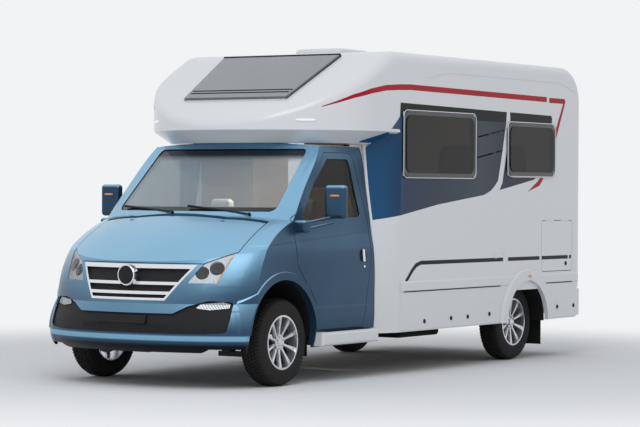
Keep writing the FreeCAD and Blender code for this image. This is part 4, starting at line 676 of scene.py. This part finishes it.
def foam_filled(name, low, high, voxel, face, material):
    """Pad swollen by a cloth simulation inside its space, its centre panel sewn into one face afterwards."""
    middle, half = (low + high) / 2, (high - low) / 2
    mesh = bmesh.new()
    start = half - Vector((soft_start, soft_start, soft_start))
    block(mesh, start.xy, (-start.z, start.z), min(start) * soft_round, segments=3)
    pad = placed(name, mesh_of(name, mesh))
    even = pad.modifiers.new("even", "REMESH")
    even.mode = "VOXEL"
    even.voxel_size = voxel
    pad.data = settled(pad)
    before = [vertex.co.copy() for vertex in pad.data.vertices]
    after = before
    cloth = pad.modifiers.new("foam", "CLOTH")
    cloth.settings.use_pressure = True
    cloth.settings.uniform_pressure_force = soft_pressure
    cloth.settings.effector_weights.gravity = 0
    for step in range(1, soft_frames + 1):
        bpy.context.scene.frame_set(step)
    swollen = pad.evaluated_get(bpy.context.evaluated_depsgraph_get()).data
    after = [vertex.co.copy() for vertex in swollen.vertices]
    pad.modifiers.clear()
    bpy.context.scene.frame_set(1)
    axis, way = face
    one, other = (k for k in range(3) if k != axis)
    limit = [size - soft_margin for size in half]
    for vertex, first, last in zip(pad.data.vertices, before, after):
        move = last - first
        point = first + move * min(1.0, soft_cap / max(move.length, 1e-9))
        towards = max(0.0, way * point[axis] / half[axis] - panel_start) / (1 - panel_start)
        share = max(abs(point[one]) / half[one], abs(point[other]) / half[other] * panel_stretch)
        dip = (panel_depth * max(0.0, 1 - (share / panel_share) ** 6)
               + seam_depth * math.exp(-((share - panel_share) / seam_width) ** 2))
        point[axis] -= way * dip * towards
        vertex.co = middle + Vector([max(-limit[k], min(limit[k], point[k])) for k in range(3)])
    smooth = pad.modifiers.new("smooth", "SUBSURF")
    smooth.levels = smooth.render_levels = 1
    pad.data = settled(pad)
    pad.data.materials.clear()
    pad.data.materials.append(material)
    for polygon in pad.data.polygons:
        polygon.use_smooth = True
    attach(pad, "root")
    return pad


for side_name, spaces in (("right", pad_spaces("cab_seats")[:3]), ("left", pad_spaces("cab_seats")[3:])):
    for (pad_name, voxel, face), (low, high) in zip(seat_pads, spaces):
        pad = foam_filled(pad_name + side_name, low, high, voxel, face, cream_leather)
        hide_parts("cab_seats")
for (pad_name, voxel), (low, high) in zip(living_pads, pad_spaces("cushions")):
    pad = foam_filled(pad_name, low, high, voxel, (2, 1), cream_leather)
    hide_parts("cushions")


# Wheels. Cast alloy wheels under silver lacquer, on the hubs of the knuckles and the rear axle.
wheel_names = ("front_left", "front_right", "rear_left", "rear_right")
wear(mottled("silver_alloy", (0.66, 0.67, 0.69), None, 0.22, 0.08, 240.0, Metallic=0.9),
     *("wheel_" + wheel_name for wheel_name in wheel_names))


# Road tyres. Vulcanised rubber on the rims, with ribbed side walls and five rows of tread blocks. The carcass
# is a skin over rings, as small fittings are, and one pitch of blocks is copied round by Geometry Nodes.
def oval(wide, high, out, power=2.0, count=40):
    """Ring of points of a rounded outline at one height above the surface."""
    ring = []
    for i in range(count):
        c, s = math.cos(math.tau * i / count), math.sin(math.tau * i / count)
        ring.append(Vector((wide * math.copysign(abs(c) ** (2 / power), c),
                            high * math.copysign(abs(s) ** (2 / power), s), out)))
    return ring


def skinned(mesh, rings, place=Matrix(), closed=True):
    """Add a skin over a stack of rings to a mesh, closed at its ends or round into a hoop."""
    loops = [[mesh.verts.new(place @ point) for point in ring] for ring in rings]
    for low, high in zip(loops, loops[1:] if closed else loops[1:] + loops[:1]):
        for i in range(len(low)):
            mesh.faces.new((low[i - 1], low[i], high[i], high[i - 1]))
    if closed:
        mesh.faces.new(loops[0][::-1])
        mesh.faces.new(loops[-1])


def stack(mesh, wide, high, steps, place=Matrix(), power=2.0, count=40, closed=True):
    """Add a rounded boss or cup: each step gives how far its outline grows and its height."""
    skinned(mesh, [oval(wide + grow, high + grow, out, power, count) for grow, out in steps], place, closed)


def finished(name, mesh, material, body, angle=32.0):
    """Make a piece of a mesh, with outward faces and edges sharp past an angle."""
    bmesh.ops.recalc_face_normals(mesh, faces=mesh.faces[:])
    for face in mesh.faces:
        face.smooth = True
        face.material_index = 0
    piece = plain_piece(name, mesh, material, body)
    piece.data.set_sharp_from_angle(angle=math.radians(angle))
    return piece


def copy_nodes():
    """Geometry Nodes group that repeats a template on points, each turned by its own angles."""
    group = bpy.data.node_groups.new("copies", "GeometryNodeTree")
    group.interface.new_socket("Spots", in_out="INPUT", socket_type="NodeSocketGeometry")
    group.interface.new_socket("Template", in_out="INPUT", socket_type="NodeSocketObject")
    group.interface.new_socket("Copies", in_out="OUTPUT", socket_type="NodeSocketGeometry")
    entry, template, turn, rotation, scatter, solid, leave = (group.nodes.new(kind) for kind in (
        "NodeGroupInput", "GeometryNodeObjectInfo", "GeometryNodeInputNamedAttribute",
        "FunctionNodeEulerToRotation", "GeometryNodeInstanceOnPoints", "GeometryNodeRealizeInstances",
        "NodeGroupOutput"))
    turn.data_type = "FLOAT_VECTOR"
    turn.inputs["Name"].default_value = "turn"
    for source, sink in ((entry.outputs["Template"], template.inputs["Object"]),
                         (entry.outputs["Spots"], scatter.inputs["Points"]),
                         (template.outputs["Geometry"], scatter.inputs["Instance"]),
                         (turn.outputs["Attribute"], rotation.inputs[0]),
                         (rotation.outputs[0], scatter.inputs["Rotation"]),
                         (scatter.outputs[0], solid.inputs[0]),
                         (solid.outputs[0], leave.inputs[0])):
        group.links.new(source, sink)
    return group


copy_group = copy_nodes()
copy_sockets = {item.name: item.identifier for item in copy_group.interface.items_tree}


def copies(name, template, places, material, body, angle=32.0):
    """One piece made of a small template repeated at places."""
    bmesh.ops.recalc_face_normals(template, faces=template.faces[:])
    sample = placed("template", mesh_of("template", template))
    spots = bpy.data.meshes.new("spots")
    spots.from_pydata([place.translation for place in places], [], [])
    turns = spots.attributes.new("turn", "FLOAT_VECTOR", "POINT")
    turns.data.foreach_set("vector", [part for place in places for part in place.to_euler()])
    holder = placed("spots", spots)
    modifier = holder.modifiers.new("copies", "NODES")
    modifier.node_group = copy_group
    modifier[copy_sockets["Template"]] = sample
    mesh = bmesh.new()
    mesh.from_mesh(settled(holder))
    bpy.data.objects.remove(holder)
    bpy.data.objects.remove(sample)
    finished(name, mesh, material, body, angle)


tyre_rubber = mottled("tyre_rubber", (0.014, 0.014, 0.015), (0.030, 0.029, 0.028), 0.66, 0.15, 20.0, 4.0,
                      height=0.001, Specular_IOR_Level=0.15)
tyre_radius = 0.350
tyre_half_width = 0.0975
tyre_wall = [(-0.88, 0.612), (-0.97, 0.650), (-1.0, 0.700), (-0.985, 0.715), (-1.0, 0.730), (-1.0, 0.790),
             (-0.985, 0.800), (-0.995, 0.812), (-0.975, 0.850), (-0.935, 0.895), (-0.915, 0.900), (-0.895, 0.925),
             (-0.80, 0.955), (-0.60, 0.968), (-0.30, 0.973)]
tyre_profile = tyre_wall + [(-share, radius) for share, radius in tyre_wall[::-1]]
crown_drop = 0.012
shoulder_start = 0.70
tread_depth = 0.009
tread_root = 0.004
tread_skew = 0.16
tread_count = 72
tread_rows = ((-0.90, -0.56, 0.30, 0.0), (-0.50, -0.22, 0.34, 0.5), (-0.15, 0.15, 0.36, 0.0),
              (0.22, 0.50, 0.34, 0.5), (0.56, 0.90, 0.30, 0.0))


def crown(share):
    """Outer radius of the tread at a share of the tyre's half width."""
    return tyre_radius * (1.0 - crown_drop * share ** 2 - max(abs(share) - shoulder_start, 0.0) ** 2)


def about_axle(x, radius, turn):
    """Point at a place along an axle, a radius and a turn about it."""
    return Vector((x, radius * math.sin(turn), radius * math.cos(turn)))


def hoop(mesh, profile, place, count=96):
    """Add a ring of revolution about an axle along X, from places along the axle and radii."""
    rings = [[about_axle(x, radius, math.tau * i / count) for i in range(count)] for x, radius in profile]
    skinned(mesh, rings, place, closed=False)


def tread_sector(mesh):
    """Add the tread blocks of one pitch, standing on the carcass."""
    pitch = math.tau / tread_count
    for low, high, half, shift in tread_rows:
        corners = []
        for share in (low, high):
            middle = (shift + tread_skew * share) * pitch
            for edge in (-half, half):
                for radius in (crown(share) - tread_depth - tread_root, crown(share)):
                    point = about_axle(share * tyre_half_width, radius, middle + edge * pitch)
                    corners.append(mesh.verts.new(point))
        a, b, c, d, e, f, g, h = corners
        for face in ((a, b, d, c), (e, g, h, f), (a, e, f, b), (c, d, h, g), (b, f, h, d), (a, c, g, e)):
            mesh.faces.new(face)


for wheel_name in wheel_names:
    tyre_low, tyre_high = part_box("tyre_" + wheel_name)
    place = Matrix.Translation((tyre_low + tyre_high) / 2)
    body = "wheel_" + wheel_name
    sector = bmesh.new()
    tread_sector(sector)
    turns = [place @ Matrix.Rotation(math.tau * i / tread_count, 4, "X") for i in range(tread_count)]
    copies("tyre_tread_" + wheel_name, sector, turns, tyre_rubber, body, 20.0)
    carcass_mesh = bmesh.new()
    hoop(carcass_mesh, [(share * tyre_half_width, radius * tyre_radius) for share, radius in tyre_profile], place)
    carcass = finished("tyre_carcass_" + wheel_name, carcass_mesh, tyre_rubber, body, 24.0)
    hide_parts("tyre_" + wheel_name)


# Brakes and wheel nuts. Cast discs behind the spokes and zinc plated nuts round each hub, turning with the
# wheels.
def facing(point, normal, up=Vector((0, 0, 1))):
    """Place of a fitting on a surface: its own Z along the normal and its own Y upwards."""
    across = up.cross(normal).normalized()
    return Matrix.Translation(point) @ Matrix((across, normal.cross(across), normal)).transposed().to_4x4()


cast_iron = mottled("brake_iron", (0.20, 0.19, 0.18), (0.12, 0.10, 0.09), 0.38, 0.2, 60.0, 3.0, Metallic=0.9)
zinc = mottled("zinc_plate", (0.55, 0.56, 0.57), None, 0.28, 0.15, 120.0, Metallic=0.95)
hub_face_out = 0.0628
disc_profile = [(-0.052, 0.075), (-0.052, 0.150), (-0.030, 0.152), (-0.026, 0.150), (-0.026, 0.095),
                (-0.014, 0.090), (-0.014, 0.075)]
nut_count = 6
nut_circle = 0.046
nut_radius = 0.0095
nut_steps = [(0, -0.004), (0, 0.012), (-0.002, 0.015), (-0.006, 0.016)]
for wheel_name in wheel_names:
    tyre_low, tyre_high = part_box("tyre_" + wheel_name)
    middle = (tyre_low + tyre_high) / 2
    side = 1 if middle.x > 0 else -1
    body = "wheel_" + wheel_name
    disc_mesh = bmesh.new()
    hoop(disc_mesh, disc_profile, Matrix.Translation(middle) @ Matrix.Diagonal((side, 1, 1, 1)), 72)
    finished("brake_disc_" + wheel_name, disc_mesh, cast_iron, body)
    nut = bmesh.new()
    stack(nut, nut_radius, nut_radius, nut_steps, count=6)
    hub_middle = middle + Vector((side * hub_face_out, 0, 0))
    spots = [facing(hub_middle + about_axle(0, nut_circle, math.tau * i / nut_count), Vector((side, 0, 0)))
             for i in range(nut_count)]
    copies("wheel_nuts_" + wheel_name, nut, spots, zinc, body)


# Rubber seals and bright edges. Extruded rubber round every pane, and thin anodised strips round the body
# windows, pressed into their joints.
def tube(name, lines, radius, material, body, cyclic=False):
    """Round section swept along lines of points."""
    curve = bpy.data.curves.new(name, "CURVE")
    curve.dimensions = "3D"
    curve.bevel_depth = radius
    curve.bevel_resolution = 3
    curve.use_fill_caps = True
    for line in lines:
        spline = curve.splines.new("POLY")
        spline.points.add(len(line) - 1)
        for point, place in zip(spline.points, line):
            point.co = (*place, 1)
        spline.use_cyclic_u = cyclic
    holder = bpy.data.objects.new(name, curve)
    mesh = bmesh.new()
    mesh.from_mesh(bpy.data.meshes.new_from_object(holder))
    bpy.data.objects.remove(holder)
    finished(name, mesh, material, body, 60.0)


def rim_points(node, across, out, lift=0.0):
    """Outline of a pane, lifted off its outer face, from its width axis and its outward axis and way."""
    ends = {}
    for vertex in parts[node].data.vertices:
        spot = vertex.co.copy()
        key = (round(spot[across], 3), round(spot.z, 3))
        if key not in ends or out[1] * spot[out[0]] > out[1] * ends[key][out[0]]:
            ends[key] = spot
    keys = sorted(ends)
    hull = []
    for turn in (keys, keys[::-1]):
        side = []
        for key in turn:
            while len(side) > 1 and ((side[-1][0] - side[-2][0]) * (key[1] - side[-2][1])
                                     - (side[-1][1] - side[-2][1]) * (key[0] - side[-2][0])) <= 0:
                side.pop()
            side.append(key)
        hull += side[:-1]
    points = []
    for key in hull:
        point = ends[key].copy()
        point[out[0]] += out[1] * lift
        points.append(point)
    return points


def rounded_frame(low, high, x, corner, steps=6):
    """Rounded rectangle in length and height at one place across the vehicle."""
    points = []
    for i, (y, z) in enumerate(((high[0] - corner, high[1] - corner), (low[0] + corner, high[1] - corner),
                                (low[0] + corner, low[1] + corner), (high[0] - corner, low[1] + corner))):
        for step in range(steps + 1):
            turn = math.radians(90 * (i + step / steps))
            points.append(Vector((x, y + corner * math.cos(turn), z + corner * math.sin(turn))))
    return points


seal_radius = 0.0055
seal_lift = 0.0005
strip_radius = 0.0045
window_corner = 0.055
rubber_seal = moulded("rubber_seal", (0.014, 0.014, 0.015), 0.60, 400.0, 0.0006)
bright_strip = mottled("anodised_strip", (0.62, 0.63, 0.65), None, 0.24, 0.10, 80.0, Metallic=0.95)
tube("windscreen_seal", [rim_points("windscreen", 0, (1, -1))], seal_radius, rubber_seal, "root",
     True)
for side, side_name in sides:
    tube("door_glass_seal_" + side_name, [rim_points("door_glass_" + side_name, 1, (0, side), seal_lift)],
         seal_radius, rubber_seal, "cab_door_" + side_name, True)
flank_frame_depth = 0.1
flank_frame_height = 0.2
strip_lines = []
for low, high in pad_spaces("window_frames"):
    if high.x - low.x < flank_frame_depth and high.z - low.z > flank_frame_height:
        outer = high.x if high.x > 0 else low.x
        strip_lines.append(rounded_frame((low.y + strip_radius, low.z + strip_radius),
                                         (high.y - strip_radius, high.z - strip_radius), outer, window_corner))
tube("window_strips", strip_lines, strip_radius, bright_strip, "root", True)


# Flank fittings. Black plugs along the skirts, amber side markers, a drip moulding along the roof edge, two
# filler caps and the flush locks, all pushed or screwed into the panels.
def cast(tree, start, way, lift=0.0):
    """Point and normal where a ray meets a surface."""
    hit, normal, _, _ = tree.ray_cast(Vector(start), Vector(way))
    if hit is None:
        return None
    normal = normal if normal.dot(Vector(way)) < 0 else -normal
    return hit + normal * lift, normal


def on_side(tree, side, y, z, lift=0.0):
    """Point and normal on one flank of the vehicle."""
    return cast(tree, (side * film_reach, y, z), (-side, 0, 0), lift)


def bosses(name, size, steps, places, material, body, power=2.0):
    """One piece made of rounded bosses of one size at places."""
    mesh = bmesh.new()
    for place in places:
        stack(mesh, *size, steps, place, power)
    finished(name, mesh, material, body)


amber_lens = ribbed_lens("amber_lens", (0.75, 0.20, 0.02), (0.90, 0.34, 0.05), 0.15, 60.0, 0.0008)
plug_radius = 0.019
plug_steps = [(0, -0.002), (0, 0.003), (-0.003, 0.006), (-0.008, 0.007), (-0.010, 0.004)]
plug_spots = ((-0.052, 0.440), (0.409, 0.448), (0.705, 0.449), (1.102, 0.457), (2.423, 0.474), (2.760, 0.474))
marker_size, marker_spot = (0.030, 0.012), (1.837, 0.780)
marker_steps = [(0, -0.002), (0, 0.006), (-0.003, 0.010), (-0.008, 0.011)]
drip_line = [(-0.024, 2.536), (0.199, 2.580), (0.408, 2.598), (2.464, 2.592), (2.777, 2.518)]
drip_step = 0.06
drip_radius = 0.005
ridge_height = 0.703
ridge_widths = [0.011, 0.011]
ridge_runs = ((-0.40, 1.30), (2.20, 2.72))
cap_size, cap_spots = (0.030, 0.030), ((1.225, 0.985), (1.375, 1.020))
cap_steps = [(0, -0.002), (0, 0.003), (-0.002, 0.006), (-0.010, 0.007), (-0.012, 0.005), (-0.020, 0.005)]
lock_radius, lock_spot = 0.020, (2.600, 0.880)
lock_steps = [(0, -0.002), (0, 0.004), (-0.003, 0.006), (-0.008, 0.006), (-0.009, 0.003)]
for side, side_name in sides:
    flank = surface_tree(*side_nodes[side], "side_skirts", "roof", "rear_bumper")
    plug = bmesh.new()
    stack(plug, plug_radius, plug_radius, plug_steps, count=20)
    copies("skirt_plugs_" + side_name, plug, [facing(*on_side(flank, side, y, z)) for y, z in plug_spots],
           black_plastic, "root")
    bosses("side_marker_" + side_name, marker_size, marker_steps, [facing(*on_side(flank, side, *marker_spot))],
           amber_lens, "root", 3.0)
    line = []
    for (y0, z0), (y1, z1) in zip(drip_line, drip_line[1:]):
        steps = max(2, round(math.hypot(y1 - y0, z1 - z0) / drip_step))
        line += [on_side(flank, side, y0 + (y1 - y0) * i / steps, z0 + (z1 - z0) * i / steps)
                 for i in range(steps)]
    line.append(on_side(flank, side, *drip_line[-1]))
    tube("drip_moulding_" + side_name, [[hit[0] for hit in line if hit]], drip_radius, white_moulding, "root")
    # A thin black film along the skirt's ridge is a painted shadow under the ridge.
    ridge_shadows = [stroke([(low, ridge_height), (high, ridge_height)], ridge_widths) for low, high in ridge_runs]
    film("ridge_line_" + side_name, ridge_shadows, side, (*side_nodes[side], "side_skirts"), "root", film_black,
         [door_spans[side]])
left_flank = surface_tree(*side_nodes[1])
bosses("filler_caps", cap_size, cap_steps, [facing(*on_side(left_flank, 1, y, z)) for y, z in cap_spots],
       white_moulding, "root", 4.0)
lock = bmesh.new()
lock_place = facing(*on_side(surface_tree("service_door"), 1, *lock_spot))
stack(lock, lock_radius, lock_radius, lock_steps, lock_place)
block(lock, (0.003, 0.009), (0.002, 0.007), 0.001, lock_place)
finished("service_lock", lock, black_plastic, "service_door")


# Cab door fittings. Oval pull cups with a bar across them and a key barrel below, mirror glasses and repeaters
# in the mirror heads, all clipped in.
mirror_glass = mottled("mirror_glass", (0.70, 0.73, 0.75), None, 0.03, 0.02, 3.0, Metallic=1.0)
cup_size, cup_spot = (0.046, 0.052), (-0.898, 1.022)
cup_steps = [(0, -0.003), (0, 0.003), (-0.003, 0.006), (-0.006, 0.005), (-0.009, 0.001), (-0.030, 0.0005)]
bar_size, bar_heights = (0.016, 0.052), (0.004, 0.016)
barrel_radius, barrel_spot = 0.011, (-0.880, 0.930)
barrel_steps = [(0, -0.002), (0, 0.002), (-0.002, 0.004), (-0.005, 0.004), (-0.006, 0.002)]
mirror_size, mirror_start = (0.078, 0.112), (1.140, -1.20, 1.470)
mirror_steps = [(0, -0.003), (0, 0.002), (-0.003, 0.003)]
repeater_size, repeater_start = (0.045, 0.008), (1.150, -2.40, 1.520)
repeater_steps = [(0, -0.002), (0, 0.003), (-0.003, 0.005)]
for side, side_name in sides:
    door = "cab_door_" + side_name
    door_tree = surface_tree(door)
    cup_place = facing(*on_side(door_tree, side, *cup_spot))
    bosses("pull_cup_" + side_name, cup_size, cup_steps, [cup_place], black_plastic, door, 2.5)
    bar = bmesh.new()
    block(bar, bar_size, bar_heights, 0.005, cup_place, 3)
    barrel_place = facing(*on_side(door_tree, side, *barrel_spot))
    stack(bar, barrel_radius, barrel_radius, barrel_steps, barrel_place, count=24)
    finished("pull_bar_" + side_name, bar, chrome_metal, door)
    flip = Matrix.Diagonal((side, 1, 1))
    glass_place = facing(*cast(door_tree, flip @ Vector(mirror_start), (0, -1, 0)))
    bosses("mirror_glass_" + side_name, mirror_size, mirror_steps, [glass_place], mirror_glass, door,
           4.0)
    repeater_place = facing(*cast(door_tree, flip @ Vector(repeater_start), (0, 1, 0)))
    bosses("mirror_repeater_" + side_name, repeater_size, repeater_steps, [repeater_place], amber_lens, door,
           3.0)


# Steps. Ribbed rubber pads on the moulded cab steps.
rib_size, rib_heights = (0.030, 0.006), (-0.001, 0.004)
rib_count = 26
rib_pitch = 0.026
rib_start = (1.000, -1.50, 0.60)
step_floor = 0.39
step_tree = surface_tree("cab_steps")
for side, side_name in sides:
    rib = bmesh.new()
    block(rib, rib_size, rib_heights, 0.0015)
    spots = []
    for i in range(rib_count):
        hit = cast(step_tree, (side * rib_start[0], rib_start[1] + rib_pitch * i, rib_start[2]), (0, 0, -1))
        if hit and hit[0].z > step_floor:
            spots.append(Matrix.Translation(hit[0]))
    copies("step_pads_" + side_name, rib, spots, rubber_seal, "root")


# Front fittings. A plain ring and dark dish on the grille, a mesh of bars in the intake, a blank plate, and
# slim marker lamps let into the nose of the sleeping shell.
ray_reach = 4.0


def on_front(tree, x, z):
    """Point and normal on the nose of the vehicle."""
    return cast(tree, (x, -ray_reach, z), (0, 1, 0))


ring_height = 0.888
ring_radius = 0.079
ring_steps = [(-0.006, -0.002), (0.004, -0.002), (0.004, 0.008), (0, 0.012), (-0.006, 0.010), (-0.008, 0.002)]
dish_size = (0.074, 0.074)
dish_steps = [(0, -0.002), (0, 0.004), (-0.010, 0.0065), (-0.030, 0.009), (-0.050, 0.010)]
mesh_rows, mesh_reach = 3, 17
mesh_start, mesh_pitch = 0.475, (0.024, 0.017)
slat_size, slat_heights = (0.009, 0.0035), (-0.002, 0.003)
plate_size, plate_heights, plate_middle = (0.235, 0.036), (-0.012, 0.006), 0.545
nose_size, nose_spot = (0.085, 0.011), (0.760, 2.140)
nose_steps = [(0, -0.003), (0, 0.004), (-0.004, 0.008), (-0.008, 0.009)]
grille_tree = surface_tree("grille", "grille_backing")
ring_place = facing(on_front(grille_tree, 0.0, ring_height)[0], Vector((0, -1, 0)))
bosses("grille_dish", dish_size, dish_steps, [ring_place], black_plastic, "root")
ring = bmesh.new()
stack(ring, ring_radius, ring_radius, ring_steps, ring_place, closed=False)
finished("grille_ring", ring, chrome_metal, "root")
insert_tree = surface_tree("bumper_insert")
slat = bmesh.new()
block(slat, slat_size, slat_heights, 0.001, segments=1)
hits = [on_front(insert_tree, mesh_pitch[0] * (i + (row % 2) / 2), mesh_start + mesh_pitch[1] * row)
        for row in range(mesh_rows) for i in range(-mesh_reach, mesh_reach + 1)]
copies("intake_mesh", slat, [facing(*hit) for hit in hits if hit], rubber_seal, "root")
plate = bmesh.new()
block(plate, plate_size, plate_heights, 0.003, facing(*on_front(insert_tree, 0.0, plate_middle)))
finished("plate_holder", plate, black_plastic, "root")
nose_tree = surface_tree("overcab_shell")
# The nose marker lenses glow faintly, a painted glint rather than a lit lamp.
marker_lens = mottled("marker_lens", (0.86, 0.88, 0.90), None, 0.08, 0.05, 50.0, Coat_Weight=1.0,
                      Emission_Color=(0.9, 0.95, 1.0), Emission_Strength=0.12)
spots = [facing(*on_front(nose_tree, side * nose_spot[0], nose_spot[1])) for side, _ in sides]
bosses("nose_markers", nose_size, nose_steps, spots, marker_lens, "root", 3.0)


# Skylight frame. A black rubber frame round the pane and two bars across its foot.
bar_runs = ((0.075, 0.50), (0.115, 0.51))
bar_steps = 24
bar_start = 3.2
bar_radius = 0.005
frame_radius = 0.009
sky_tree = surface_tree("skylight", "overcab_shell")
sky_low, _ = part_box("skylight")
sky_lines = []
for inset, half in bar_runs:
    hits = [cast(sky_tree, (half * (2 * i / bar_steps - 1), sky_low.y + inset, bar_start), (0, 0, -1))
            for i in range(bar_steps + 1)]
    sky_lines.append([hit[0] for hit in hits if hit])
tube("skylight_bars", sky_lines, bar_radius, rubber_seal, "root")
tube("skylight_frame", [rim_points("skylight", 0, (1, -1))], frame_radius, rubber_seal, "root",
     True)


# Rear and entrance fittings. A high brake lamp and round reflectors behind, a pull handle on the entry door and
# a grab rail beside it.
brake_size, brake_height = (0.16, 0.014), 2.56
reflector_radius, reflector_spot = 0.028, (0.80, 0.55)
rear_steps = [(0, -0.003), (0, 0.003), (-0.003, 0.005)]
handle_inset, handle_height = 0.07, 1.25
rail_inset, rail_radius = 0.10, 0.011
rail_spots = ((0.98, 0.0), (0.985, 0.035), (1.00, 0.050), (1.30, 0.050), (1.56, 0.050), (1.575, 0.035),
              (1.58, 0.0))
rear_tree = surface_tree("rear_wall", "rear_bumper", "roof", "window_frames")
brake = bmesh.new()
stack(brake, *brake_size, rear_steps, facing(*cast(rear_tree, (0.0, ray_reach, brake_height), (0, -1, 0))),
      power=4.0)
for side, _ in sides:
    hit = cast(rear_tree, (side * reflector_spot[0], ray_reach, reflector_spot[1]), (0, -1, 0))
    stack(brake, reflector_radius, reflector_radius, rear_steps, facing(*hit))
finished("rear_reflectors", brake, red_lens, "root")
pull = bmesh.new()
pull_place = facing(*on_side(surface_tree("entry_door"), -1, entry_low.y + handle_inset, handle_height))
block(pull, (0.022, 0.065), (-0.001, 0.010), 0.004, pull_place)
block(pull, (0.012, 0.050), (0.008, 0.024), 0.005, pull_place, 3)
finished("entry_handle", pull, black_plastic, "entry_door")
right_tree = surface_tree("side_wall_right")
rail_line = [on_side(right_tree, -1, entry_high.y + rail_inset, z, out)[0] for z, out in rail_spots]
tube("entry_rail", [rail_line], rail_radius, bright_strip, "root")
